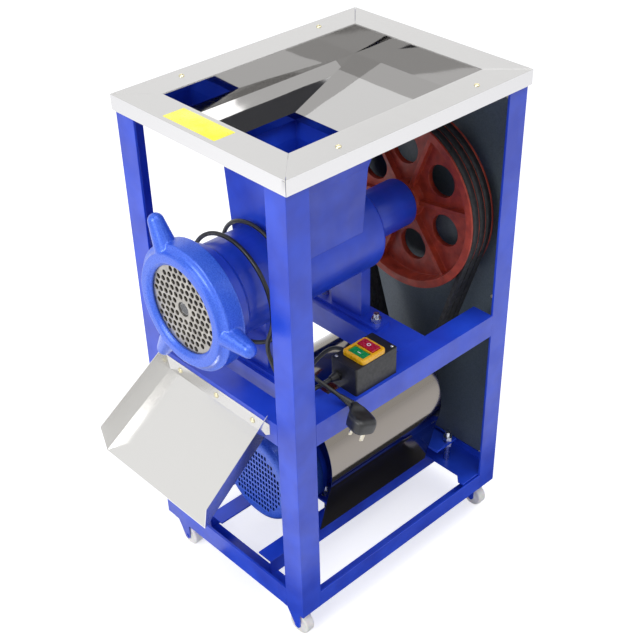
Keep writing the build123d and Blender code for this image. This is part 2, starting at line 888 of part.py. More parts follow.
# Big pulley: grooved rim, web with six round holes and ribs between them, long hub
web_front = pulley_front + pulley_web_in
web_back = web_front + pulley_web
hub_front = pulley_front + pulley_hub_in
with BuildPart() as big_pulley:
    with BuildSketch(side_on(axis_z)):
        with BuildLine():
            Polyline(
                *groove_profile(pulley_radius, pulley_front, pulley_width),
                (pulley_back, pulley_rim_inner),
                (web_back, pulley_rim_inner - 3),
                (web_back, pulley_hub_radius),
                (pulley_back, pulley_hub_radius),
                (pulley_back, shaft_radius + snug),
                (hub_front, shaft_radius + snug),
                (hub_front, pulley_hub_radius),
                (web_front, pulley_hub_radius + 3),
                (web_front, pulley_rim_inner - 3),
                (pulley_front, pulley_rim_inner),
                close=True,
            )
        make_face()
    revolve(axis=grinder_axis)
    with BuildSketch(upright(web_front, axis_z)):
        with PolarLocations(web_hole_circle, web_hole_count, start_angle=web_hole_turn):
            Circle(web_hole_radius)
    extrude(amount=-pulley_web, mode=Mode.SUBTRACT)
    with BuildSketch(upright(web_front, axis_z)):
        rib_middle = (pulley_hub_radius + pulley_rim_inner) / 2
        half_step = 180 / web_hole_count
        with PolarLocations(rib_middle, web_hole_count, start_angle=web_hole_turn + half_step):
            Rectangle(pulley_rim_inner - pulley_hub_radius, rib_wall)
    extrude(amount=rib_height)
keep(big_pulley, "big_pulley")

# Motor pulley on the same belts
motor_axis = Axis(origin=(0, 0, motor_axis_z), direction=(0, 1, 0))
with BuildPart() as motor_pulley:
    with BuildSketch(side_on(motor_axis_z)):
        with BuildLine():
            Polyline(
                *groove_profile(motor_pulley_radius, pulley_front, pulley_width),
                (pulley_back, motor_shaft_radius + snug),
                (pulley_front, motor_shaft_radius + snug),
                close=True,
            )
        make_face()
    revolve(axis=motor_axis)
keep(motor_pulley, "motor_pulley")

# Belts: each one a closed loop of V section round both pulleys
belt_inner_big = pulley_radius - belt_below_rim - belt_height
belt_inner_small = motor_pulley_radius - belt_below_rim - belt_height
lean = asin((belt_inner_big - belt_inner_small) / (axis_z - motor_axis_z))
belt_half_low = belt_top / 2 - belt_height * tan(radians(belt_flank))
with BuildPart() as belts:
    for index in range(groove_count):
        y = pulley_front + pulley_width / 2 + (index - (groove_count - 1) / 2) * groove_pitch
        with BuildLine(upright(y)) as belt_line:
            big = (belt_inner_big * cos(lean), axis_z - belt_inner_big * sin(lean))
            small = (belt_inner_small * cos(lean), motor_axis_z - belt_inner_small * sin(lean))
            ThreePointArc(big, (0, axis_z + belt_inner_big), (-big[0], big[1]))
            Line((-big[0], big[1]), (-small[0], small[1]))
            ThreePointArc((-small[0], small[1]), (0, motor_axis_z - belt_inner_small), small)
            Line(small, big)
        start = Vector(0, y, axis_z + belt_inner_big)
        with BuildSketch(Plane(origin=(big[0], y, big[1]), x_dir=(0, 1, 0), z_dir=(sin(lean), 0, cos(lean)))):
            with BuildLine():
                Polyline(
                    (-belt_half_low, 0),
                    (-belt_top / 2, -belt_height),
                    (belt_top / 2, -belt_height),
                    (belt_half_low, 0),
                    close=True,
                )
            make_face()
        sweep(path=belt_line.wire(), transition=Transition.RIGHT)
keep(belts, "belts")

# Motor: a round shell with end rings and two feet, bored for its shaft
motor_back = pulley_front - motor_gap
motor_front = motor_back - motor_length
fan_cover_inner = fan_cover_radius - fan_cover_wall
motor_base = motor_axis_z - foot_height
with BuildPart() as motor_body:
    with BuildSketch(side_on(motor_axis_z)):
        with BuildLine():
            Polyline(
                (motor_front, motor_shaft_radius + running),
                (motor_front, fan_cover_inner - snug),
                (motor_front + ring_seat, fan_cover_inner - snug),
                (motor_front + ring_seat, motor_radius),
                (motor_back - 6, motor_radius),
                (motor_back, motor_radius - 8),
                (motor_back, motor_boss_radius + 4),
                (motor_back + motor_boss, motor_boss_radius),
                (motor_back + motor_boss, motor_shaft_radius + running),
                close=True,
            )
        make_face()
    revolve(axis=motor_axis)
    foot_start = (motor_front + motor_back - foot_run) / 2
    with BuildSketch(upright(foot_start, motor_axis_z)):
        for side in (-1, 1):
            with BuildLine():
                Polyline(
                    (side * (foot_reach - 45), -foot_height),
                    (side * foot_reach, -foot_height),
                    (side * foot_reach, -foot_height + 9),
                    (side * (foot_reach - 14), -foot_height + 13),
                    (side * (foot_reach - 18), -foot_height + 42),
                    (side * (foot_reach - 45), -foot_height + 20),
                    close=True,
                )
            make_face()
    extrude(amount=-foot_run)
keep(motor_body, "motor_body")

fan_cover_front = motor_front + fan_cover_lap - fan_cover_length
fan_back = motor_front - 8
fan_front = fan_back - fan_width
with BuildPart() as motor_shaft:
    with BuildSketch(upright(fan_front - 4, motor_axis_z)):
        Circle(motor_shaft_radius)
    extrude(amount=-(pulley_back + 2 - fan_front + 4))
    chamfer(motor_shaft.edges().group_by(Axis.Y)[-1], 1)
keep(motor_shaft, "motor_shaft")

# Cooling fan: hub, back disc and straight blades
with BuildPart() as motor_fan:
    with BuildSketch(upright(fan_front, motor_axis_z)):
        Circle(motor_shaft_radius + 10)
        Circle(motor_shaft_radius + snug, mode=Mode.SUBTRACT)
    extrude(amount=-fan_width)
    with BuildSketch(upright(fan_back - 3, motor_axis_z)):
        Circle(fan_radius)
        Circle(motor_shaft_radius + snug, mode=Mode.SUBTRACT)
    extrude(amount=-3)
    with BuildSketch(upright(fan_front, motor_axis_z)):
        blade_middle = (motor_shaft_radius + 8 + fan_radius) / 2
        with PolarLocations(blade_middle, fan_blades):
            Rectangle(fan_radius - motor_shaft_radius - 8, 3)
    extrude(amount=-fan_width)
keep(motor_fan, "motor_fan")

# Fan cover: a drawn cup over the front of the motor, with rows of upright vents
vent_places = []
rows = int(vent_field / vent_pitch_z) + 1
columns = int(vent_field / vent_pitch_x) + 1
for row in range(-rows, rows + 1):
    for column in range(-columns, columns + 1):
        x = column * vent_pitch_x
        z = row * vent_pitch_z
        if sqrt((abs(x) + vent_wide / 2) ** 2 + (abs(z) + vent_high / 2) ** 2) < vent_field:
            vent_places.append((x, z))
with BuildPart() as fan_cover:
    with BuildSketch(side_on(motor_axis_z)):
        cover_back = fan_cover_front + fan_cover_length
        inside_front = fan_cover_front + fan_cover_wall
        inside_edge = fan_cover_edge - fan_cover_wall
        with BuildLine():
            Polyline((inside_front, 0), (fan_cover_front, 0), (fan_cover_front, fan_cover_radius - fan_cover_edge))
            RadiusArc(
                (fan_cover_front, fan_cover_radius - fan_cover_edge),
                (fan_cover_front + fan_cover_edge, fan_cover_radius),
                fan_cover_edge,
            )
            Polyline(
                (fan_cover_front + fan_cover_edge, fan_cover_radius),
                (cover_back, fan_cover_radius),
                (cover_back, fan_cover_inner),
                (fan_cover_front + fan_cover_edge, fan_cover_inner),
            )
            RadiusArc(
                (fan_cover_front + fan_cover_edge, fan_cover_inner),
                (inside_front, fan_cover_inner - inside_edge),
                -inside_edge,
            )
            Line((inside_front, fan_cover_inner - inside_edge), (inside_front, 0))
        make_face()
    revolve(axis=motor_axis)
    with BuildSketch(upright(fan_cover_front, motor_axis_z)):
        with Locations(*vent_places):
            Rectangle(vent_wide, vent_high)
    extrude(amount=-fan_cover_wall, mode=Mode.SUBTRACT)
keep(fan_cover, "fan_cover")

# Terminal box on top of the motor
terminal_y = (motor_front + motor_back) / 2 - 20
terminal_front = terminal_y - terminal_depth / 2
terminal_roof = motor_axis_z + motor_radius + terminal_top
with BuildPart() as terminal_box:
    with BuildSketch(Plane.XY.offset(terminal_roof - terminal_lid)):
        with Locations((0, terminal_y)):
            RectangleRounded(terminal_width - 6, terminal_depth - 6, 6)
    extrude(amount=-(terminal_roof - terminal_lid - motor_axis_z))
    with BuildSketch(Plane.XY.offset(terminal_roof - terminal_lid)):
        with Locations((0, terminal_y)):
            RectangleRounded(terminal_width, terminal_depth, 8)
    extrude(amount=terminal_lid)
    with BuildSketch(upright(terminal_front - 1, motor_axis_z)):
        Circle(motor_radius + snug)
    extrude(amount=-(terminal_depth + 2), mode=Mode.SUBTRACT)
    with BuildSketch(upright(terminal_front + 4, motor_axis_z + motor_radius + terminal_top / 2)):
        Circle(gland_radius)
    with BuildSketch(upright(terminal_front - gland_length, motor_axis_z + motor_radius + terminal_top / 2)):
        Circle(gland_tip_radius)
    loft()
keep(terminal_box, "terminal_box")

# Shield: one sheet bent over the motor, its sides leaning in below
shield_z = motor_axis_z + shield_rise
shield_back = pulley_front - shield_back_in
shield_front = shield_back - shield_length


def shield_face(radius):
    """Face under the arch, down to the shield's lower edges."""
    bend = radians(shield_bend)
    side_x = radius * cos(bend)
    side_z = shield_z - radius * sin(bend)
    foot_x = side_x - (side_z - shield_bottom) * tan(radians(shield_lean))
    with BuildSketch() as face:
        with BuildLine():
            Line((-foot_x, shield_bottom), (-side_x, side_z))
            ThreePointArc((-side_x, side_z), (0, shield_z + radius), (side_x, side_z))
            Polyline((side_x, side_z), (foot_x, shield_bottom), (-foot_x, shield_bottom))
        make_face()
    return face.sketch


shield_outside = shield_face(shield_radius)
shield_inside = shield_face(shield_radius - sheet)
with BuildPart() as motor_shield:
    with BuildSketch(upright(shield_front)):
        add(shield_outside)
        add(shield_inside, mode=Mode.SUBTRACT)
    extrude(amount=-shield_length)
keep(motor_shield, "motor_shield")

# Motor plate: as wide as fits inside the shield, and a slotted bar behind it
plate_side = (shield_radius - sheet) * cos(radians(shield_bend))
plate_drop = shield_z - (shield_radius - sheet) * sin(radians(shield_bend)) - motor_base
motor_plate_half = plate_side - (plate_drop + motor_plate_wall) * tan(radians(shield_lean)) - clear
plate_start = motor_front + ring_seat + 6
bar_front = shield_back + clear
bar_back = bar_front + motor_bar_depth
stud_back_y = (bar_front + bar_back) / 2 + 15
stud_front_y = plate_start + 22
stud_places = [
    (-stud_x, stud_back_y, base_top),
    (stud_x, stud_back_y, base_top),
    (motor_rail_x[0], stud_front_y, motor_rail_top),
    (motor_rail_x[1], stud_front_y, motor_rail_top),
]
with BuildPart() as motor_plate:
    with BuildSketch(Plane.XY.offset(motor_base)):
        with BuildLine():
            Polyline(
                (-motor_plate_half, plate_start),
                (motor_plate_half, plate_start),
                (motor_plate_half, bar_front),
                (motor_bar_half, bar_front),
                (motor_bar_half, bar_back),
                (-motor_bar_half, bar_back),
                (-motor_bar_half, bar_front),
                (-motor_plate_half, bar_front),
                close=True,
            )
        make_face()
        with Locations(*[(x, y) for x, y, z in stud_places]):
            SlotOverall(motor_slot_length, 2 * stud_radius + 1, rotation=90, mode=Mode.SUBTRACT)
    extrude(amount=-motor_plate_wall)
keep(motor_plate, "motor_plate")

# Tension studs with a nut above and below the motor plate
with BuildPart() as tension_studs:
    for x, y, z in stud_places:
        with BuildSketch(Plane.XY.offset(z)):
            with Locations((x, y)):
                Circle(stud_radius)
        extrude(amount=motor_base + nut_height + stud_over - z)
        with BuildSketch(Plane.XY.offset(motor_base)):
            with Locations((x, y)):
                RegularPolygon(nut_flats / 2, 6, major_radius=False)
        extrude(amount=nut_height)
        with BuildSketch(Plane.XY.offset(motor_base - motor_plate_wall)):
            with Locations((x, y)):
                RegularPolygon(nut_flats / 2, 6, major_radius=False)
        extrude(amount=-nut_height)
keep(tension_studs, "tension_studs")

# Chute: flange on the front rail, a sloping floor that widens and two flared side walls
chute_start_y = front_y - sheet
chute_tip_y = front_y - chute_reach
slope = Vector(0, chute_tip_y - chute_start_y, chute_tip_z - chute_top_z)
down_slope = slope.normalized()


def chute_section(along, left, right):
    """Channel section across the chute, at a distance down its slope."""
    origin = Vector(0, chute_start_y, chute_top_z) + down_slope * along
    with BuildSketch(Plane(origin=origin, x_dir=(1, 0, 0), z_dir=down_slope)) as section:
        with BuildLine():
            Polyline(
                (left - chute_flare, chute_wall),
                (left, 0),
                (right, 0),
                (right + chute_flare, chute_wall),
                (right + chute_flare + sheet, chute_wall),
                (right + sheet, -sheet),
                (left - sheet, -sheet),
                (left - chute_flare - sheet, chute_wall),
                close=True,
            )
        make_face()
    return section.sketch


past_end = chute_wall
widen_left = (chute_left_tip - chute_left_top) / slope.length
widen_right = (chute_right_tip - chute_right_top) / slope.length
chute_start_section = chute_section(
    -past_end, chute_left_top - widen_left * past_end, chute_right_top - widen_right * past_end
)
chute_end_section = chute_section(
    slope.length + past_end, chute_left_tip + widen_left * past_end, chute_right_tip + widen_right * past_end
)
with BuildPart() as chute:
    add(chute_start_section)
    add(chute_end_section)
    loft(ruled=True)
    split(bisect_by=Plane.XZ.offset(-chute_tip_y), keep=Keep.BOTTOM)
    split(bisect_by=Plane.XZ.offset(-chute_start_y), keep=Keep.TOP)
    with BuildSketch(upright(front_y)):
        with BuildLine():
            Polyline(
                (flange_left, flange_top),
                (flange_right, flange_top),
                (flange_right, flange_top - 23),
                (chute_right_top, chute_top_z - sheet),
                (chute_left_top, chute_top_z - sheet),
                (flange_left, flange_top - 23),
                close=True,
            )
        make_face()
    extrude(amount=sheet)
keep(chute, "chute")

# Switch box on the right rail, with sockets for the two buttons
box_front = front_y + box_front_in
box_x = box_left + box_width / 2
box_y = box_front + box_depth / 2
box_top = mid_rail_top + box_height
bezel_y = box_y - 5
bezel_x = box_x + 4
button_wide = bezel_width - 2 * bezel_wall
button_deep = (bezel_depth - 2 * bezel_wall - bezel_bar) / 2
start_y = bezel_y - (button_deep + bezel_bar) / 2
stop_y = bezel_y + (button_deep + bezel_bar) / 2
socket_depth = button_travel + 1
with BuildPart() as switch_box:
    with BuildSketch(Plane.XY.offset(mid_rail_top)):
        with Locations((box_x, box_y)):
            RectangleRounded(box_width, box_depth, 4)
    extrude(amount=box_height)
    chamfer(switch_box.faces().sort_by(Axis.Z)[-1].edges(), 1)
    with BuildSketch(Plane.XY.offset(box_top)):
        with Locations((bezel_x, start_y), (bezel_x, stop_y)):
            Rectangle(button_wide, button_deep)
    extrude(amount=-socket_depth, mode=Mode.SUBTRACT)
keep(switch_box, "switch_box")

with BuildPart() as switch_bezel:
    with BuildSketch(Plane.XY.offset(box_top)):
        with Locations((bezel_x, bezel_y)):
            RectangleRounded(bezel_width, bezel_depth, 7)
    extrude(amount=bezel_height)
    chamfer(switch_bezel.faces().sort_by(Axis.Z)[-1].edges(), 1.5)
    with BuildSketch(Plane.XY.offset(box_top)):
        with Locations((bezel_x, start_y), (bezel_x, stop_y)):
            Rectangle(button_wide, button_deep)
    extrude(amount=bezel_height, mode=Mode.SUBTRACT)
keep(switch_bezel, "switch_bezel")

for name, y, proud in (("start_button", start_y, start_proud), ("stop_button", stop_y, stop_proud)):
    with BuildPart() as button:
        with BuildSketch(Plane.XY.offset(box_top + clear)):
            with Locations((bezel_x, y)):
                RectangleRounded(button_wide - 2 * button_gap, button_deep - 2 * button_gap, 2)
        extrude(amount=bezel_height + proud - clear)
        chamfer(button.faces().sort_by(Axis.Z)[-1].edges(), 1)
    keep(button, name)

# Glands: the mains gland looks to the front, the motor's looks to the left
gland_height = mid_rail_top + gland_z
power_gland = (box_left + 18, box_front, gland_height)
lead_gland = (box_left, box_y + 10, gland_height)
with BuildPart() as cable_glands:
    for base, way in ((power_gland, (0, -1, 0)), (lead_gland, (-1, 0, 0))):
        foot = Plane(origin=base, x_dir=(0, 0, 1), z_dir=way)
        with BuildSketch(foot):
            RegularPolygon(gland_radius + 1, 6)
        extrude(amount=5)
        with BuildSketch(foot.offset(5)):
            Circle(gland_radius - 1)
        with BuildSketch(foot.offset(gland_length)):
            Circle(gland_tip_radius)
        loft()
keep(cable_glands, "cable_glands")


def cord_tube(route, diameter):
    """Tube along straight runs joined by tangent arcs, each as large as its runs allow."""
    points = [Vector(*point) for point in route]
    radii = []
    for before, corner, after in zip(points, points[1:], points[2:]):
        turn = (corner - before).get_angle(after - corner)
        shorter = min((corner - before).length, (after - corner).length)
        radii.append(0.45 * shorter / tan(radians(turn / 2)))
    with BuildPart() as tube:
        with BuildLine() as path:
            FilletPolyline(*points, radius=radii)
        with BuildSketch(Plane(origin=points[0], z_dir=points[1] - points[0])):
            Circle(diameter / 2)
        sweep(path=path.wire())
    section = pi * diameter * diameter / 4
    volume_ratio = tube.part.volume / (section * path.wire().length)
    print("cord length", round(path.wire().length), "smallest radius", round(min(radii)))
    print("radii", [round(radius) for radius in radii], "volume ratio", round(volume_ratio, 4))
    return tube


# Motor lead: from the box down in front of the shield and back under its arch
lead_end_y = terminal_front - gland_length
lead_end_z = motor_axis_z + motor_radius + terminal_top / 2
lead_route = [
    (lead_gland[0] - gland_length, lead_gland[1], lead_gland[2]),
    (lead_gland[0] - gland_length - 24, lead_gland[1], lead_gland[2]),
    (78, -2, 562),
    (60, -30, 525),
    (48, -56, 490),
    (34, -74, 452),
    (20, -70, 418),
    (7, -45, 396),
    (0, lead_end_y - 22, lead_end_z),
    (0, lead_end_y, lead_end_z),
]
motor_lead = cord_tube(lead_route, lead_diameter)
keep(motor_lead, "motor_lead")

# Mains cord: out of its gland, two loose turns round the barrel, and over the rail to the plug
loop_radius = 116
loop_z = 734
turn_start = -40
turn_end = 620
turn_step = 30
front_loop_y = -162
back_loop_y = -102
under_loop_y = -84


def ease(value):
    """Smooth step from 0 to 1."""
    held = min(max(value, 0), 1)
    return held * held * (3 - 2 * held)


relief_start = Vector(206.5, -91, 568)
relief_end = Vector(231, -81, 554.5)
relief_way = (relief_end - relief_start).normalized()
loop_points = []
for angle in range(turn_start, turn_end + 1, turn_step):
    y = front_loop_y + (back_loop_y - front_loop_y) * ease((angle - 180) / 270)
    y += (under_loop_y - back_loop_y) * ease((angle - 450) / 120)
    loop_points.append(
        (loop_radius * cos(radians(angle)), y, loop_z + loop_radius * sin(radians(angle)))
    )
cord_route = [
    (power_gland[0], power_gland[1] - gland_length, power_gland[2]),
    (power_gland[0], power_gland[1] - gland_length - 24, power_gland[2]),
    (158, -122, 568),
    (140, -145, 570),
    (122, -158, 590),
    (106, -163, 622),
    *loop_points,
    (58, -87, 620),
    (108, -99, 609),
    (154, -109, 594),
    tuple(relief_start - relief_way * 27),
    tuple(relief_start),
]
power_cord = cord_tube(cord_route, cord_diameter)
keep(power_cord, "power_cord")

# Plug: a tapered strain relief over the rail's edge, a rounded body and three flat pins
plug_length = 50
plug_width = 50
plug_thickness = 27
plug_drop = 35
plug_way = Vector(cos(radians(plug_drop)), 0, -sin(radians(plug_drop)))
plug_down = Vector(-sin(radians(plug_drop)), 0, -cos(radians(plug_drop)))
plug_middle = relief_end + plug_way * (plug_length / 2 - 1)
plug_base = Plane(
    origin=plug_middle + plug_down * plug_thickness / 2, x_dir=plug_way, z_dir=plug_down * -1
)
with BuildPart() as plug:
    with BuildSketch(plug_base):
        RectangleRounded(plug_length, plug_width, 14)
    with BuildSketch(plug_base.offset(plug_thickness * 0.55)):
        RectangleRounded(plug_length, plug_width, 14)
    with BuildSketch(plug_base.offset(plug_thickness)):
        RectangleRounded(plug_length - 14, plug_width - 16, 12)
    loft(ruled=True)
    with BuildSketch(Plane(origin=relief_start, z_dir=relief_way)):
        Circle(cord_diameter / 2 + 1.2)
    with BuildSketch(Plane(origin=relief_end, z_dir=relief_way)):
        Circle(cord_diameter / 2 + 4)
    loft()
keep(plug, "plug")

pin_long = 18
with BuildPart() as plug_pins:
    with BuildSketch(plug_base):
        with Locations((14, 0)):
            Rectangle(4, 8)
        with Locations((-7, -11), (-7, 11)):
            Rectangle(4, 6.4)
    extrude(amount=-pin_long)
keep(plug_pins, "plug_pins")
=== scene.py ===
import math
import random

import bmesh
import bpy
from mathutils import Matrix, Vector


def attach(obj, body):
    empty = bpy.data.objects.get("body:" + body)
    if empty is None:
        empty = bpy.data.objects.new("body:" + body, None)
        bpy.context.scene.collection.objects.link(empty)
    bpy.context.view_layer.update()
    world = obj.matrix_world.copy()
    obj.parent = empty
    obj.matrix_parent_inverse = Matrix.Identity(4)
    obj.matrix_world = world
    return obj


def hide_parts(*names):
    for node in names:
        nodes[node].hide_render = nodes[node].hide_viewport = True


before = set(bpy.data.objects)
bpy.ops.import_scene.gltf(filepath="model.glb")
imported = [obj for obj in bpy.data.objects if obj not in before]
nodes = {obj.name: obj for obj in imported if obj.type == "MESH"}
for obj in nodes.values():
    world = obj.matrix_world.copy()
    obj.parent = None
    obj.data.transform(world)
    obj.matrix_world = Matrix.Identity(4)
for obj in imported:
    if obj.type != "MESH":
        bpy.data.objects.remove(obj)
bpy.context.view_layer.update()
scene = bpy.context.scene
MM = 0.001


def linear(colour):
    """sRGB hex colour as linear red, green, blue and full alpha."""
    parts = [int(colour[i:i + 2], 16) / 255 for i in (0, 2, 4)]
    return [p / 12.92 if p <= 0.04045 else ((p + 0.055) / 1.055) ** 2.4 for p in parts] + [1.0]


def add_node(tree, kind, sockets=None, **settings):
    """Adds a node: its settings, and for each socket a value or the output that feeds it."""
    made = tree.nodes.new(kind)
    for name, value in settings.items():
        setattr(made, name, value)
    for name, value in (sockets or {}).items():
        if isinstance(value, bpy.types.NodeSocket):
            tree.links.new(value, made.inputs[name])
        else:
            made.inputs[name].default_value = value
    return made


def surface(name, colour, **plain):
    """Material with a shader set to one colour and plain values, its tree, and positions in mm."""
    material = bpy.data.materials.new(name)
    material.use_nodes = True
    tree = material.node_tree
    shader = tree.nodes["Principled BSDF"]
    shader.inputs["Base Color"].default_value = linear(colour)
    for socket, value in plain.items():
        shader.inputs[socket.replace("_", " ")].default_value = value
    where = add_node(tree, "ShaderNodeTexCoord").outputs["Object"]
    to_mm = add_node(tree, "ShaderNodeMapping", {"Vector": where, "Scale": (1000, 1000, 1000)})
    return material, tree, shader, to_mm.outputs["Vector"]


def mottle(tree, shader, where, size, colours, detail=3.0):
    """Colour that drifts between two shades over patches of this size in mm."""
    cloud = add_node(tree, "ShaderNodeTexNoise", {"Vector": where, "Scale": 1 / size, "Detail": detail})
    ramp = add_node(tree, "ShaderNodeValToRGB", {"Fac": cloud.outputs["Fac"]})
    for stop, place, colour in zip(ramp.color_ramp.elements, (0.35, 0.65), colours):
        stop.position = place
        stop.color = linear(colour)
    tree.links.new(ramp.outputs["Color"], shader.inputs["Base Color"])


def patchy_gloss(tree, shader, where, size, low, high, detail=4.0):
    """Roughness that drifts between two values over patches of this size in mm."""
    cloud = add_node(tree, "ShaderNodeTexNoise", {"Vector": where, "Scale": 1 / size, "Detail": detail})
    spread = add_node(tree, "ShaderNodeMapRange",
                      {"Value": cloud.outputs["Fac"], "From Min": 0.3, "From Max": 0.7,
                       "To Min": low, "To Max": high})
    tree.links.new(spread.outputs["Result"], shader.inputs["Roughness"])


def relief(tree, shader, where, size, depth, detail=2.0, after=None):
    """Bumps of this size and depth, both in mm, laid over an earlier relief where there is one."""
    cloud = add_node(tree, "ShaderNodeTexNoise", {"Vector": where, "Scale": 1 / size, "Detail": detail})
    sockets = {"Height": cloud.outputs["Fac"], "Distance": depth * MM, "Strength": 1.0}
    if after is not None:
        sockets["Normal"] = after
    bump = add_node(tree, "ShaderNodeBump", sockets)
    tree.links.new(bump.outputs["Normal"], shader.inputs["Normal"])
    return bump.outputs["Normal"]


def stretched(tree, where, shares):
    """Positions scaled along the axes, so that a pattern is drawn out along one of them."""
    return add_node(tree, "ShaderNodeMapping", {"Vector": where, "Scale": shares}).outputs["Vector"]


def gloss_blue_enamel():
    # Alkyd enamel sprayed on welded steel angle: glossy, with orange peel some 4 mm wide, slow
    # waves of the steel under it, and darker patches where the gun passed quickly
    material, tree, shader, mm = surface("blue_alkyd_enamel_sprayed", "1e46d0", IOR=1.5, Coat_Weight=0.12,
                                         Coat_Roughness=0.12)
    mottle(tree, shader, mm, 90, ("1a3dc0", "244edb"))
    patchy_gloss(tree, shader, mm, 40, 0.3, 0.44)
    peel = relief(tree, shader, mm, 4, 0.05)
    relief(tree, shader, mm, 60, 0.25, after=peel)
    return material


def hammertone_blue():
    # Hammertone enamel on a rough casting: sparkling dimples 2.4 mm across over soft lumps
    material, tree, shader, mm = surface("blue_hammertone_enamel", "2f5cda", IOR=1.5, Metallic=0.25,
                                         Coat_Weight=0.3, Coat_Roughness=0.15)
    mottle(tree, shader, mm, 2.6, ("2a5ad6", "4472e6"), detail=3)
    patchy_gloss(tree, shader, mm, 2, 0.25, 0.45)
    dimples = add_node(tree, "ShaderNodeTexVoronoi", {"Vector": mm, "Scale": 1 / 2.4})
    bump = add_node(tree, "ShaderNodeBump", {"Height": dimples.outputs["Distance"], "Distance": 0.2 * MM,
                                             "Strength": 0.8})
    relief(tree, shader, mm, 14, 0.25, after=bump.outputs["Normal"])
    return material


def hammertone_grey():
    # The same kind of enamel in grey on sheet steel, flatter and duller
    material, tree, shader, mm = surface("grey_hammertone_enamel", "5a666d", IOR=1.5, Metallic=0.1)
    mottle(tree, shader, mm, 3, ("56626a", "616d74"))
    patchy_gloss(tree, shader, mm, 5, 0.35, 0.5)
    relief(tree, shader, mm, 3, 0.05)
    return material


def oxide_primer():
    # Red oxide primer brushed on cast iron: dull, grainy, darker in hollows
    material, tree, shader, mm = surface("red_oxide_primer_on_cast_iron", "9c3420", IOR=1.5)
    mottle(tree, shader, mm, 22, ("8a2a1a", "b04028"), detail=6)
    patchy_gloss(tree, shader, mm, 15, 0.4, 0.62)
    grain = relief(tree, shader, mm, 1.6, 0.12)
    relief(tree, shader, mm, 14, 0.3, after=grain)
    return material


def satin_stainless(name, colour, roughness, along, wave_depth, wave_size):
    # Stainless 430 sheet, rolled and polished: a sheen that drifts in streaks along the rolling
    # direction, 12 mm wide as real lines are too fine to show, and soft waves where it isn't flat
    material, tree, shader, mm = surface(name, colour, Metallic=1.0, Roughness=roughness)
    streaks = stretched(tree, mm, [0.02 if axis == along else 1.0 for axis in "xyz"])
    patchy_gloss(tree, shader, streaks, 12, roughness * 0.92, roughness * 1.08, detail=1.0)
    relief(tree, shader, mm, wave_size, wave_depth, detail=1.0)
    return material


def ground_steel():
    # Tool steel, face ground: light scratches that run one way
    material, tree, shader, mm = surface("ground_tool_steel", "a9a59e", Metallic=1.0)
    mottle(tree, shader, mm, 14, ("9a968f", "b6b2aa"), detail=5)
    patchy_gloss(tree, shader, mm, 6, 0.28, 0.45)
    relief(tree, shader, stretched(tree, mm, (1, 1, 0.05)), 0.8, 0.01)
    return material


def turned_steel():
    # Carbon steel turned on a lathe: fine rings across the axis, thin oil film
    material, tree, shader, mm = surface("turned_carbon_steel", "8f8f90", Metallic=1.0)
    patchy_gloss(tree, shader, mm, 8, 0.22, 0.4)
    relief(tree, shader, stretched(tree, mm, (0.05, 1, 0.05)), 0.6, 0.01)
    return material


def tinned_iron():
    # Cast iron dipped in tin: dull silver with soft sand-cast lumps
    material, tree, shader, mm = surface("tinned_cast_iron", "9b9b9a", Metallic=0.85)
    mottle(tree, shader, mm, 25, ("8a8a8a", "acacaa"), detail=5)
    patchy_gloss(tree, shader, mm, 10, 0.35, 0.55)
    relief(tree, shader, mm, 2.5, 0.15)
    return material


def plated_steel(name, colours):
    # Small steel parts, zinc plated or only oiled: fine patches of two tones
    material, tree, shader, mm = surface(name, colours[0], Metallic=1.0)
    mottle(tree, shader, mm, 2.5, colours)
    patchy_gloss(tree, shader, mm, 3, 0.2, 0.38)
    return material


def belt_rubber():
    # Wrapped V-belt: neoprene under a woven cotton cover, threads some 0.7 mm apart
    material, tree, shader, mm = surface("neoprene_belt_with_cotton_cover", "17181a", IOR=1.52)
    mottle(tree, shader, mm, 9, ("131415", "26272a"), detail=5)
    patchy_gloss(tree, shader, mm, 12, 0.6, 0.85)
    weave = add_node(tree, "ShaderNodeTexWave", {"Vector": mm, "Scale": 1 / 2.0, "Distortion": 0.6},
                     wave_type="BANDS", bands_direction="DIAGONAL")
    bump = add_node(tree, "ShaderNodeBump", {"Height": weave.outputs["Fac"], "Distance": 0.1 * MM})
    tree.links.new(bump.outputs["Normal"], shader.inputs["Normal"])
    return material


def nylon():
    # Polyamide, moulded and machined: cream white, a little see-through, satin
    material, tree, shader, mm = surface("cream_polyamide_moulded", "f6f3ec", IOR=1.53,
                                         Subsurface_Weight=0.15, Subsurface_Scale=0.002)
    mottle(tree, shader, mm, 18, ("efebe2", "faf8f3"))
    patchy_gloss(tree, shader, mm, 8, 0.3, 0.5)
    relief(tree, shader, mm, 5, 0.04)
    return material


def moulded_plastic(name, colours, gloss, grain):
    # ABS or PVC, injection moulded: one colour all through, with the mould's spark-eroded grain
    material, tree, shader, mm = surface(name, colours[0], IOR=1.53)
    mottle(tree, shader, mm, 12, colours)
    patchy_gloss(tree, shader, mm, 6, *gloss)
    relief(tree, shader, mm, 0.9, grain)
    return material


def pvc_sheath():
    # Extruded PVC over stranded copper: smooth, with faint ripples and duller patches
    material, tree, shader, mm = surface("black_pvc_sheath_extruded", "191a19", IOR=1.54)
    mottle(tree, shader, mm, 7, ("141514", "232521"), detail=5)
    patchy_gloss(tree, shader, mm, 5, 0.3, 0.5)
    relief(tree, shader, mm, 3, 0.05)
    return material


def vinyl_label():
    # Self-adhesive vinyl film, glossy, with soft creases from laying it down
    material, tree, shader, mm = surface("yellow_vinyl_film", "f4ec3c", IOR=1.5)
    mottle(tree, shader, mm, 30, ("f0e632", "f8f258"))
    patchy_gloss(tree, shader, mm, 10, 0.22, 0.34)
    relief(tree, shader, mm, 16, 0.1)
    return material


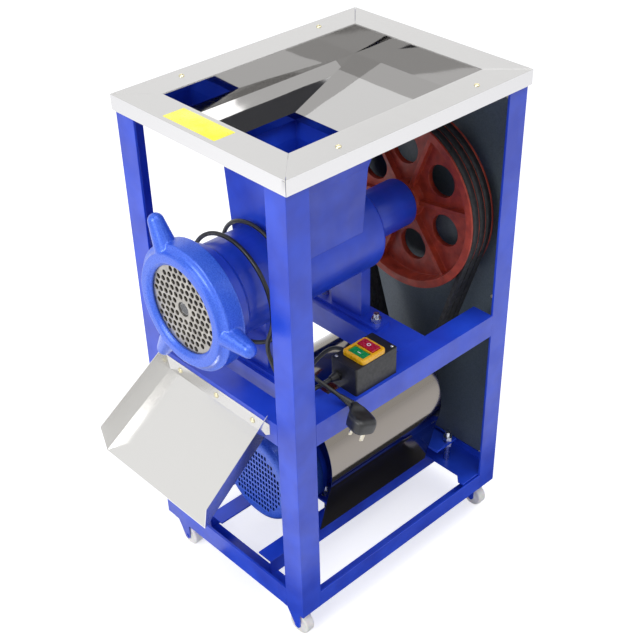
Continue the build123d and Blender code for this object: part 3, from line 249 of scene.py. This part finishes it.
def nickel_brass():
    # Brass stamping, nickel plated and scuffed by sockets
    material, tree, shader, mm = surface("nickel_plated_brass", "cfc8b4", Metallic=1.0)
    mottle(tree, shader, mm, 4, ("bdb49b", "d8d3c4"))
    patchy_gloss(tree, shader, mm, 3, 0.2, 0.4)
    return material


def printed_white():
    # White pad print on plastic
    material, tree, shader, mm = surface("white_pad_print", "f2f2ef", IOR=1.5)
    mottle(tree, shader, mm, 2, ("ebebe6", "f6f6f4"))
    patchy_gloss(tree, shader, mm, 2, 0.35, 0.5)
    return material


blue = gloss_blue_enamel()
ring_blue = hammertone_blue()
cover_grey = hammertone_grey()
oxide = oxide_primer()
rim_steel = satin_stainless("stainless_430_rim", "d8d7d6", 0.25, "x", 0.1, 150)
pan_steel = satin_stainless("stainless_430_pan_polished", "cbcac9", 0.045, "y", 1.1, 150)
chute_steel = satin_stainless("stainless_430_chute_polished", "e0dfdd", 0.2, "x", 0.7, 120)
shield_steel = satin_stainless("stainless_430_shield_polished", "857f78", 0.10, "y", 0.4, 160)
plate_steel = ground_steel()
shaft_steel = turned_steel()
dark_steel = plated_steel("oiled_dark_steel", ("4e4f51", "6a6a6b"))
worm_tin = tinned_iron()
zinc = plated_steel("zinc_plated_steel", ("b9bcc2", "d6d9dd"))
yellow_zinc = plated_steel("yellow_passivated_zinc", ("d2c8a0", "ece6c8"))
belt = belt_rubber()
wheel_nylon = nylon()
box_black = moulded_plastic("black_abs_moulded_grained", ("0d0d0e", "161617"), (0.42, 0.6), 0.06)
plug_black = moulded_plastic("black_pvc_moulded", ("161718", "242628"), (0.28, 0.42), 0.02)
bezel_yellow = moulded_plastic("yellow_abs_moulded", ("f0ac08", "f8bd16"), (0.22, 0.34), 0.01)
start_green = moulded_plastic("green_abs_moulded", ("128a3c", "1a9a48"), (0.2, 0.32), 0.01)
stop_red = moulded_plastic("red_abs_moulded", ("ae1420", "c01e28"), (0.2, 0.32), 0.01)
sheath = pvc_sheath()
label_yellow = vinyl_label()
pin_nickel = nickel_brass()
white_print = printed_white()


# Camera, from the vanishing lines of the frame in the photograph
IMAGE_SIDE = 640
FOCAL_PIXELS = 1170.04
MIDDLE_PIXEL = (342.51, 356.06)
SENSOR = 36.0
CAMERA_PLACE = (1.4219, -1.2534, 1.8922)
camera_data = bpy.data.cameras.new("camera")
camera = bpy.data.objects.new("camera", camera_data)
scene.collection.objects.link(camera)
scene.camera = camera
camera_data.sensor_width = SENSOR
camera_data.lens = FOCAL_PIXELS / IMAGE_SIDE * SENSOR
camera_data.shift_x = (IMAGE_SIDE / 2 - MIDDLE_PIXEL[0]) / IMAGE_SIDE
camera_data.shift_y = (MIDDLE_PIXEL[1] - IMAGE_SIDE / 2) / IMAGE_SIDE
camera_right = Vector((0.69824, 0.71580, -0.00894)).normalized()
camera_up = Vector((-0.41842, 0.41822, 0.80624)).normalized()
camera_axes = Matrix((camera_right, camera_up, camera_right.cross(camera_up))).transposed()
camera.matrix_world = Matrix.Translation(CAMERA_PLACE) @ camera_axes.to_4x4()


def ease(value):
    """Smooth step from 0 to 1."""
    held = min(max(value, 0), 1)
    return held * held * (3 - 2 * held)


def cord(name, route, diameter, stands_for):
    """Smooth line through the route's points, given in mm, as a round cord."""
    data = bpy.data.curves.new(name, "CURVE")
    data.dimensions = "3D"
    line = data.splines.new("NURBS")
    line.points.add(len(route) - 1)
    for point, place in zip(line.points, route):
        point.co = (*(Vector(place) * MM), 1)
    line.order_u = 3
    line.use_endpoint_u = True
    line.resolution_u = 10
    data.bevel_depth = diameter / 2 * MM
    data.bevel_resolution = 5
    data.use_fill_caps = True
    data.materials.append(sheath)
    made = bpy.data.objects.new(name, data)
    scene.collection.objects.link(made)
    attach(made, "frame")
    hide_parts(stands_for)
    return made


# Mains cord: out of its gland, two loose turns on the barrel, over the rail to the plug
POWER_DIAMETER, LEAD_DIAMETER = 8.5, 8.0
LOOP_RADIUS, LOOP_Z = 116, 734
TURN_START, TURN_END, TURN_STEP = -40, 620, 30
FRONT_LOOP_Y, BACK_LOOP_Y, UNDER_LOOP_Y = -162, -102, -84
power_start = Vector((165, -76, 575))
relief_start = Vector((206.5, -91, 568))
relief_end = Vector((231, -81, 554.5))
relief_way = (relief_end - relief_start).normalized()
loops = []
for angle in range(TURN_START, TURN_END + 1, TURN_STEP):
    y = FRONT_LOOP_Y + (BACK_LOOP_Y - FRONT_LOOP_Y) * ease((angle - 180) / 270)
    y += (UNDER_LOOP_Y - BACK_LOOP_Y) * ease((angle - 450) / 120)
    turn = math.radians(angle)
    loops.append((LOOP_RADIUS * math.cos(turn), y, LOOP_Z + LOOP_RADIUS * math.sin(turn)))
power_route = [
    power_start, (165, -100, 575), (158, -122, 568), (140, -145, 570), (122, -158, 590), (106, -163, 622),
    *loops,
    (58, -87, 620), (108, -99, 609), (154, -109, 594), relief_start - relief_way * 27, relief_start,
]
power_cord = cord("mains_cord", power_route, POWER_DIAMETER, "power_cord")

# Motor lead: from the switch box down in front of the shield to the terminal box
lead_start = Vector((127, 8.5, 575))
lead_route = [
    lead_start, (103, 8.5, 575), (78, -2, 562), (60, -30, 525), (48, -56, 490), (34, -74, 452),
    (20, -70, 418), (7, -45, 396), (0, -13, 379), (0, 9, 379),
]
motor_lead = cord("motor_lead_cord", lead_route, LEAD_DIAMETER, "motor_lead")


def piece(name, mesh, material, body, smooth=35):
    """New piece that moves with a body, smooth where its faces meet at less than the angle."""
    mesh.name = name
    made = bpy.data.objects.new(name, mesh)
    scene.collection.objects.link(made)
    mesh.materials.append(material)
    mesh.shade_smooth()
    mesh.set_sharp_from_angle(angle=math.radians(smooth))
    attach(made, body)
    return made


def to_mesh(build):
    """Mesh from a bmesh, which is freed."""
    mesh = bpy.data.meshes.new("new")
    bmesh.ops.recalc_face_normals(build, faces=build.faces[:])
    build.to_mesh(mesh)
    build.free()
    return mesh


def frame_at(place, way, turn=0.0):
    """Matrix that puts local z along way at a place in mm, turned about it."""
    upright = Vector(way).normalized().to_track_quat("Z", "Y").to_matrix().to_4x4()
    return Matrix.Translation(Vector(place) * MM) @ upright @ Matrix.Rotation(math.radians(turn), 4, "Z")


def lathe(build, profile, matrix, steps):
    """Turns a profile of (radius, height) in mm about local z into the bmesh."""
    rings = []
    for step in range(steps):
        angle = math.radians(360 * step / steps)
        ring = []
        for radius, height in profile:
            spot = Vector((radius * math.cos(angle), radius * math.sin(angle), height)) * MM
            ring.append(build.verts.new(matrix @ spot))
        rings.append(ring)
    for near, far in zip(rings, rings[1:] + rings[:1]):
        for a, b in zip(range(len(profile)), range(1, len(profile))):
            build.faces.new([near[a], near[b], far[b], far[a]])
    bmesh.ops.remove_doubles(build, verts=build.verts[:], dist=1e-6)


# Pan head of a screw with a cross recess, all as shares of the head's radius or height
HEAD_RINGS = (0.0, 0.16, 0.34, 0.55, 0.75, 0.92, 1.0)
HEAD_STEPS = 48
HEAD_HEIGHT = 0.55
HEAD_DOME = 0.93
SLOT_HALF, SLOT_REACH = 0.13, 0.6
SLOT_DEPTH, SLOT_FADE = 0.45, 0.7


def screw_head(build, place, way, radius, turn):
    """Pan head standing on a surface: domed rings with the recess pressed in, and a plain foot."""
    tall = radius * HEAD_HEIGHT
    matrix = frame_at(place, way, turn)
    grid = []
    for share in HEAD_RINGS:
        row = []
        for step in range(HEAD_STEPS):
            angle = 2 * math.pi * step / HEAD_STEPS
            x, y = share * radius * math.cos(angle), share * radius * math.sin(angle)
            z = tall * math.sqrt(1 - (share * HEAD_DOME) ** 2)
            if min(abs(x), abs(y)) < radius * SLOT_HALF and share < SLOT_REACH:
                z -= tall * SLOT_DEPTH * (1 - share / SLOT_FADE)
            row.append(Vector((x, y, z)))
        grid.append(row)
    grid.append([Vector((spot.x, spot.y, 0)) for spot in grid[-1]])
    rows = [[build.verts.new(matrix @ (spot * MM)) for spot in row] for row in grid]
    for near, far in zip(rows, rows[1:]):
        for step in range(HEAD_STEPS):
            after = (step + 1) % HEAD_STEPS
            build.faces.new((near[step], far[step], far[after], near[after]))
    bmesh.ops.remove_doubles(build, verts=build.verts[:], dist=1e-7)


def screws(name, spots, radius, material, body):
    """Several screw heads as one piece: each spot is a place in mm and the way that it faces."""
    build = bmesh.new()
    chance = random.Random(name)
    for place, way in spots:
        screw_head(build, place, way, radius, chance.uniform(0, 90))
    piece(name, to_mesh(build), material, body)


# Steps round a box's upright corner, and the largest rounding of its rims in mm
CORNER_STEPS = 4
LARGEST_RIM = 1.2


def rounded_box(build, low, high, radius, matrix=Matrix.Identity(4)):
    """Box with rounded upright edges and small rounded rims, between two corners in mm."""
    low, high = Vector(low), Vector(high)
    middle, half = (low + high) / 2, (high - low) / 2
    outline = []
    for sx, sy, start in ((1, 1, 0), (-1, 1, 90), (-1, -1, 180), (1, -1, 270)):
        for step in range(CORNER_STEPS + 1):
            angle = math.radians(start + 90 * step / CORNER_STEPS)
            outline.append((sx * (half.x - radius) + radius * math.cos(angle),
                            sy * (half.y - radius) + radius * math.sin(angle)))
    rim = min(radius * 0.5, half.z * 0.5, LARGEST_RIM)
    levels = [(-half.z, rim), (-half.z + rim, 0), (half.z - rim, 0),
              (half.z - rim * 0.3, rim * 0.3), (half.z, rim)]
    rows = []
    for z, inset in levels:
        sx, sy = (half.x - inset) / half.x, (half.y - inset) / half.y
        spots = [Vector((x * sx, y * sy, z)) + middle for x, y in outline]
        rows.append([build.verts.new(matrix @ (spot * MM)) for spot in spots])
    for near, far in zip(rows, rows[1:]):
        for step in range(len(outline)):
            after = (step + 1) % len(outline)
            build.faces.new((near[step], near[after], far[after], far[step]))
    build.faces.new(rows[0][::-1])
    build.faces.new(rows[-1])


# CAD nodes and the materials they wear
finishes = {
    blue: ["leg_front_left", "leg_front_right", "leg_rear_left", "leg_rear_right", "top_rails",
           "mid_rail_front", "mid_rail_left", "mid_rail_right", "cross_member_front", "cross_member_rear",
           "bottom_rails", "rear_base_plate", "motor_rails", "motor_plate", "throat_box", "barrel",
           "bearing_housing", "pedestal_front", "pedestal_rear", "motor_body", "terminal_box",
           "caster_plates", "caster_fork_front_left", "caster_fork_front_right",
           "caster_fork_rear_left", "caster_fork_rear_right"],
    ring_blue: ["ring_nut", "fan_cover"],
    cover_grey: ["rear_cover"],
    oxide: ["big_pulley", "motor_pulley"],
    rim_steel: ["tray_rim"],
    pan_steel: ["hopper_pan"],
    chute_steel: ["chute"],
    shield_steel: ["motor_shield"],
    plate_steel: ["perforated_plate", "cutting_knife"],
    worm_tin: ["worm"],
    shaft_steel: ["main_shaft", "motor_shaft", "shaft_nut", "shaft_bearings"],
    zinc: ["foot_bolts", "tension_studs"],
    belt: ["belts"],
    wheel_nylon: ["caster_wheel_front_left", "caster_wheel_front_right", "caster_wheel_rear_left",
                  "caster_wheel_rear_right"],
    box_black: ["switch_box", "cable_glands", "motor_fan"],
    plug_black: ["plug"],
    bezel_yellow: ["switch_bezel"],
    start_green: ["start_button"],
    stop_red: ["stop_button"],
    sheath: ["power_cord", "motor_lead"],
    pin_nickel: ["plug_pins"],
}
# Small rounding of the solids' edges in mm, as bent, rolled, cast or moulded edges have it, where
# the faces meet at more than so many degrees
edge_rounding = {blue: 0.8, ring_blue: 1.5, oxide: 1.0, rim_steel: 0.5, plate_steel: 0.3, worm_tin: 1.0,
                 shaft_steel: 0.4, zinc: 0.4, wheel_nylon: 0.5, box_black: 1.0, bezel_yellow: 1.0,
                 start_green: 0.5, stop_red: 0.5, pin_nickel: 0.6}
ROUNDED_FROM = 40
for material, names in finishes.items():
    for name in names:
        node = nodes[name]
        node.data.materials.clear()
        node.data.materials.append(material)
        weld = node.modifiers.new("weld", "WELD")
        weld.merge_threshold = 1e-6
        if material in edge_rounding:
            bevel = node.modifiers.new("bevel", "BEVEL")
            bevel.width = edge_rounding[material] * MM
            bevel.segments = 2
            bevel.limit_method = "ANGLE"
            bevel.angle_limit = math.radians(ROUNDED_FROM)
            bevel.harden_normals = True
# The ring nut's lugs run into the ring in soft cast blends
cast = nodes["ring_nut"].modifiers.new("cast", "REMESH")
cast.mode = "VOXEL"
cast.voxel_size = 1.6 * MM
cast.use_smooth_shade = True
blend = nodes["ring_nut"].modifiers.new("blend", "SMOOTH")
blend.factor = 0.5
blend.iterations = 4


# Length of a curve's handle that makes a quarter circle, as a share of its radius
CIRCLE_HANDLE = 0.5523


def ring_of_curve(data, x, y, radius, steps):
    """Round outline in a flat curve, in mm, with so many steps to a quarter."""
    line = data.splines.new("BEZIER")
    line.bezier_points.add(3)
    handle = radius * CIRCLE_HANDLE
    corners = ((1, 0), (0, 1), (-1, 0), (0, -1))
    for point, (cx, cy) in zip(line.bezier_points, corners):
        middle = Vector((x + cx * radius, y + cy * radius, 0))
        swing = Vector((-cy, cx, 0)) * handle
        point.co = middle * MM
        point.handle_left = (middle - swing) * MM
        point.handle_right = (middle + swing) * MM
    line.use_cyclic_u = True
    line.resolution_u = steps


def flat_plate(name, outlines, thickness, edge):
    """Plate from round outlines, the first one its rim and the others holes, with broken edges."""
    data = bpy.data.curves.new(name, "CURVE")
    data.dimensions = "2D"
    data.fill_mode = "BOTH"
    data.extrude = (thickness / 2 - edge) * MM
    data.bevel_depth = edge * MM
    data.bevel_resolution = 1
    data.offset = -edge * MM
    for x, y, radius, steps in outlines:
        ring_of_curve(data, x, y, radius, steps)
    temporary = bpy.data.objects.new(name, data)
    scene.collection.objects.link(temporary)
    graph = bpy.context.evaluated_depsgraph_get()
    mesh = bpy.data.meshes.new_from_object(temporary.evaluated_get(graph))
    bpy.data.objects.remove(temporary)
    return mesh


# Perforated plate: round holes in a triangular pattern, each with a broken edge
AXIS_Z = 746
PLATE_FRONT, PLATE_THICK, PLATE_RADIUS, BORE_RADIUS = -271, 12, 88, 14.2
HOLE_RADIUS, HOLE_PITCH, HOLE_ROWS, BROKEN_EDGE = 5.2, 14.6, 8, 0.35
FIELD_INNER, FIELD_OUTER, FIELD_TURN = 17.5, 80.8, -9
PLATE_STEPS, BORE_STEPS, HOLE_STEPS = 24, 10, 5
outlines = [(0, 0, PLATE_RADIUS, PLATE_STEPS), (0, 0, BORE_RADIUS, BORE_STEPS)]
for i in range(-HOLE_ROWS, HOLE_ROWS + 1):
    for j in range(-HOLE_ROWS, HOLE_ROWS + 1):
        x, y = HOLE_PITCH * (i + j / 2), HOLE_PITCH * j * math.sqrt(3) / 2
        if FIELD_INNER < math.hypot(x, y) < FIELD_OUTER:
            turned = Vector((x, y)) @ Matrix.Rotation(math.radians(FIELD_TURN), 2)
            outlines.append((turned.x, turned.y, HOLE_RADIUS, HOLE_STEPS))
plate_mesh = flat_plate("drilled_plate", outlines, PLATE_THICK, BROKEN_EDGE)
plate_mesh.transform(Matrix.Translation(Vector((0, PLATE_FRONT + PLATE_THICK / 2, AXIS_Z)) * MM)
                     @ Matrix.Rotation(math.radians(90), 4, "X"))
drilled_plate = piece("drilled_plate", plate_mesh, plate_steel, "frame")
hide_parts("perforated_plate")

# Sheet screws in the rim, the chute's flange and the rear cover
RIM_HEAD, CHUTE_HEAD, COVER_HEAD, BOX_HEAD = 5.2, 5.8, 4.2, 3.2
RIM_TOP = 1063
RIM_SCREW_X, RIM_SCREW_Y = 201, (-82, 255)
FLANGE_FRONT, CHUTE_SCREW_X, CHUTE_SCREW_Z = -216.5, (-111, -1, 104), 524
COVER_FRONT, COVER_SCREW_X, COVER_SCREW_Z = 370.5, 183, (137, 560, 1000)
screws("rim_screws", [((side * RIM_SCREW_X, y, RIM_TOP), (0, 0, 1)) for side in (-1, 1) for y in RIM_SCREW_Y],
       RIM_HEAD, yellow_zinc, "frame")
screws("chute_screws", [((x, FLANGE_FRONT, CHUTE_SCREW_Z), (0, -1, 0)) for x in CHUTE_SCREW_X],
       CHUTE_HEAD, yellow_zinc, "frame")
screws("cover_screws",
       [((side * COVER_SCREW_X, COVER_FRONT, z), (0, -1, 0)) for side in (-1, 1) for z in COVER_SCREW_Z],
       COVER_HEAD, yellow_zinc, "frame")

# Worn face of the shaft's pin in the middle of the plate, with a turned groove
ROUND_STEPS = 40
PIN_FACE_Y = -268.4
PIN_PROFILE = [(0, 0), (9.5, 0), (10, -0.6), (11.2, -0.6), (11.7, 0), (13.2, -0.2), (13.6, -1)]
pin_face = bmesh.new()
lathe(pin_face, PIN_PROFILE, frame_at((0, PIN_FACE_Y, AXIS_Z), (0, -1, 0)), ROUND_STEPS)
piece("pin_face", to_mesh(pin_face), dark_steel, "drive_train")

# Corner of the rim: the side skirt's end is folded round over the front skirt
TAB_LOW, TAB_HIGH, TAB_CORNER = (219.2, -219.75, 1035), (227.3, -219.05, 1060.5), 0.3
tab = bmesh.new()
rounded_box(tab, TAB_LOW, TAB_HIGH, TAB_CORNER)
piece("corner_tab", to_mesh(tab), rim_steel, "frame")

# Switch box: two lid screws at opposite corners, and the plain marks for on and off
BOX_TOP = 610
BOX_SCREWS = [(155, -49), (206, 46)]
screws("box_screws", [((x, y, BOX_TOP), (0, 0, 1)) for x, y in BOX_SCREWS], BOX_HEAD, zinc, "frame")


def top_of(name):
    """Middle of a node's upper face, in mm."""
    places = [nodes[name].matrix_world @ Vector(corner) / MM for corner in nodes[name].bound_box]
    low = Vector([min(place[axis] for place in places) for axis in range(3)])
    high = Vector([max(place[axis] for place in places) for axis in range(3)])
    return Vector(((low.x + high.x) / 2, (low.y + high.y) / 2, high.z))


start_top, stop_top = top_of("start_button"), top_of("stop_button")
PRINT_THICK = 0.2
BAR_HALF_LENGTH, BAR_HALF_WIDTH, BAR_CORNER = 4.2, 1.0, 0.9
CIRCLE_INNER, CIRCLE_OUTER = 2.7, 4.1
bar = bmesh.new()
rounded_box(bar, start_top - Vector((BAR_HALF_LENGTH, BAR_HALF_WIDTH, 0)),
            start_top + Vector((BAR_HALF_LENGTH, BAR_HALF_WIDTH, PRINT_THICK)), BAR_CORNER)
piece("mark_on", to_mesh(bar), white_print, "start_button_body")
circle = bmesh.new()
circle_profile = [(CIRCLE_INNER, 0), (CIRCLE_INNER, PRINT_THICK),
                  (CIRCLE_OUTER, PRINT_THICK), (CIRCLE_OUTER, 0)]
lathe(circle, circle_profile, frame_at(stop_top, (0, 0, 1)), ROUND_STEPS)
piece("mark_off", to_mesh(circle), white_print, "stop_button_body")

# Plug: a moulding with a flat back that widens from its neck, a ribbed relief and three flat pins
plug_way = Vector((0.967, -0.237, -0.088)).normalized()
pin_way = Vector((-0.150, -0.265, -0.949))
pin_way = (pin_way - plug_way * pin_way.dot(plug_way)).normalized()
NECK_LENGTH, NECK_RISE = 33, 12
plug_middle = relief_end + plug_way * NECK_LENGTH + pin_way * NECK_RISE
plug_axes = Matrix((plug_way, pin_way.cross(plug_way) * -1, pin_way)).transposed().to_4x4()
plug_at = Matrix.Translation(plug_middle * MM) @ plug_axes
# Each section: place along the plug, half width, half thickness, and its middle towards the pins
PLUG_SECTIONS = [(-34, 5, 5, -12), (-33, 8, 8, -12), (-26, 9.5, 9, -11), (-20, 17, 11, -7),
                 (-12, 23, 13.5, -2), (-8, 24.5, 15, 0), (8, 24.5, 15, 0), (17, 22, 14.5, 0),
                 (23.5, 18, 12.5, 0), (25, 16, 11, 0), (25.4, 10, 7, 0)]
PLUG_STEPS = 48
PLUG_SQUARENESS = 0.42
body = bmesh.new()
rows = []
for along, half_wide, half_thick, shift in PLUG_SECTIONS:
    row = []
    for step in range(PLUG_STEPS):
        angle = 2 * math.pi * step / PLUG_STEPS
        across, up = math.cos(angle), math.sin(angle)
        across = math.copysign(abs(across) ** PLUG_SQUARENESS, across) * half_wide
        up = math.copysign(abs(up) ** PLUG_SQUARENESS, up) * half_thick + shift
        row.append(body.verts.new(plug_at @ (Vector((along, across, up)) * MM)))
    rows.append(row)
for near, far in zip(rows, rows[1:]):
    for step in range(PLUG_STEPS):
        after = (step + 1) % PLUG_STEPS
        body.faces.new((near[step], near[after], far[after], far[step]))
body.faces.new(rows[0][::-1])
body.faces.new(rows[-1])
# The relief's ribs grow towards the plug, each groove between them has a sloping side, and the
# plain tail behind them ends inside the plug
RELIEF_STEPS = 28
RELIEF_RIBS, RIB_PITCH, RIB_LENGTH = 7, 3.9, 2.4
RIB_RADIUS, RIB_GROWTH, GROOVE_DEPTH = 5.6, 0.42, 1.1
GROOVE_START, GROOVE_END = 2.7, 3.6
RELIEF_TAIL = [(8.6, 29), (8.6, 34), (0, 34)]
profile = [(0, 0), (5.2, 0)]
for rib in range(RELIEF_RIBS):
    low, radius = 1 + rib * RIB_PITCH, RIB_RADIUS + rib * RIB_GROWTH
    profile += [(radius, low), (radius, low + RIB_LENGTH),
                (radius - GROOVE_DEPTH, low + GROOVE_START), (radius - GROOVE_DEPTH, low + GROOVE_END)]
lathe(body, profile + RELIEF_TAIL, frame_at(relief_start, relief_way), RELIEF_STEPS)
moulded_plug = piece("moulded_plug", to_mesh(body), plug_black, "frame", smooth=40)
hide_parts("plug")
# Each blade: its place along and across the plug, and half its width across
BLADES = [(15, 3, 3.9), (-5, -9, 3.2), (-5, 13, 3.2)]
BLADE_HALF_THICK, BLADE_CORNER, BLADE_ROOT, BLADE_TIP = 1.8, 0.7, 13, 33
blades = bmesh.new()
for along, across, half_across in BLADES:
    rounded_box(blades, (along - BLADE_HALF_THICK, across - half_across, BLADE_ROOT),
                (along + BLADE_HALF_THICK, across + half_across, BLADE_TIP), BLADE_CORNER, plug_at)
plug_blades = piece("plug_blades", to_mesh(blades), pin_nickel, "frame")
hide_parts("plug_pins")

# Blank label on the front strip of the rim
LABEL_LOW, LABEL_HIGH, LABEL_CORNER = (-90, -209, RIM_TOP), (46, -164, RIM_TOP + 0.18), 1.5
label = bmesh.new()
rounded_box(label, LABEL_LOW, LABEL_HIGH, LABEL_CORNER)
piece("rim_label", to_mesh(label), label_yellow, "frame")


def backdrop_rays(tree):
    """1 for rays that meet the white backdrop: those of the camera, of mirrors and of glass."""
    ray = add_node(tree, "ShaderNodeLightPath").outputs
    direct = add_node(tree, "ShaderNodeMath", {0: ray["Is Camera Ray"], 1: ray["Is Glossy Ray"]},
                      operation="MAXIMUM")
    seen = add_node(tree, "ShaderNodeMath", {0: direct.outputs[0], 1: ray["Is Transmission Ray"]},
                    operation="MAXIMUM")
    return seen.outputs[0]


# Floor of white paper that keeps the machine's shadow and glows only where it is seen
FLOOR_HALF = 20
corners = [(-FLOOR_HALF, -FLOOR_HALF, 0), (FLOOR_HALF, -FLOOR_HALF, 0),
           (FLOOR_HALF, FLOOR_HALF, 0), (-FLOOR_HALF, FLOOR_HALF, 0)]
floor_mesh = bpy.data.meshes.new("floor")
floor_mesh.from_pydata(corners, [], [(0, 1, 2, 3)])
floor = bpy.data.objects.new("floor", floor_mesh)
scene.collection.objects.link(floor)
floor_paper = bpy.data.materials.new("white_studio_paper")
floor_paper.use_nodes = True
tree = floor_paper.node_tree
tree.nodes.clear()
paper = add_node(tree, "ShaderNodeBsdfDiffuse", {"Color": linear("e6e6e6")})
glow = add_node(tree, "ShaderNodeEmission", {"Color": linear("ffffff"), "Strength": 0.6})
both = add_node(tree, "ShaderNodeAddShader", {0: paper.outputs[0], 1: glow.outputs[0]})
choice = add_node(tree, "ShaderNodeMixShader",
                  {0: backdrop_rays(tree), 1: paper.outputs[0], 2: both.outputs[0]})
add_node(tree, "ShaderNodeOutputMaterial", {"Surface": choice.outputs[0]})
floor_mesh.materials.append(floor_paper)

# Black cards that only mirrors see, as painted dark reflections, as a studio hangs cards to give bright metal
# its contrast; the one on the floor is painted shadow
card_black = bpy.data.materials.new("black_card")
card_black.use_nodes = True
card_black.node_tree.nodes["Principled BSDF"].inputs["Base Color"].default_value = linear("2c2c30")


def dark_card(name, middle, way, wide, high):
    """Card of this width and height in metres that faces the given way."""
    mesh = bpy.data.meshes.new(name)
    x, y = wide / 2, high / 2
    mesh.from_pydata([(-x, -y, 0), (x, -y, 0), (x, y, 0), (-x, y, 0)], [], [(0, 1, 2, 3)])
    card = bpy.data.objects.new(name, mesh)
    scene.collection.objects.link(card)
    facing = Vector(way).to_track_quat("Z", "Y").to_matrix().to_4x4()
    card.matrix_world = Matrix.Translation(middle) @ facing
    card.visible_camera = False
    card.visible_diffuse = False
    card.visible_shadow = False
    card.visible_transmission = False
    mesh.materials.append(card_black)


dark_card("card_behind", (-0.55, 1.35, 2.6), (0.3, -0.6, -0.7), 1.0, 0.6)
dark_card("card_front", (-0.6, -0.95, 2.4), (0.3, 0.62, -0.7), 0.9, 0.8)
# Painted shadow: a dark card on the floor under and behind the machine, where its shadow falls, so mirrors
# show shade there instead of the glowing floor
dark_card("painted_floor_shadow_card", (0.13, 0.33, 0.004), (0, 0, 1), 0.46, 1.3)

# World: dim bluish white on the machine, plain white as the backdrop
world = bpy.data.worlds.new("studio")
scene.world = world
world.use_nodes = True
tree = world.node_tree
tree.nodes.clear()
room = add_node(tree, "ShaderNodeBackground", {"Color": linear("f4f6ff"), "Strength": 0.62})
backdrop = add_node(tree, "ShaderNodeBackground", {"Color": linear("ffffff"), "Strength": 1.0})
choice = add_node(tree, "ShaderNodeMixShader",
                  {0: backdrop_rays(tree), 1: room.outputs[0], 2: backdrop.outputs[0]})
add_node(tree, "ShaderNodeOutputWorld", {"Surface": choice.outputs[0]})

LAMP_TARGET = Vector((0, 0.05, 0.55))


def soft_lamp(name, place, power, size):
    """Square soft box that looks at the middle of the machine."""
    data = bpy.data.lights.new(name, "AREA")
    data.energy = power
    data.size = size
    lamp = bpy.data.objects.new(name, data)
    scene.collection.objects.link(lamp)
    lamp.location = place
    lamp.rotation_euler = (LAMP_TARGET - Vector(place)).to_track_quat("-Z", "Y").to_euler()


soft_lamp("key_box", (0.1, -3.0, 2.5), 55, 1.7)
soft_lamp("top_box", (0.6, 0.3, 3.2), 35, 2.2)
scene.view_settings.view_transform = "Standard"
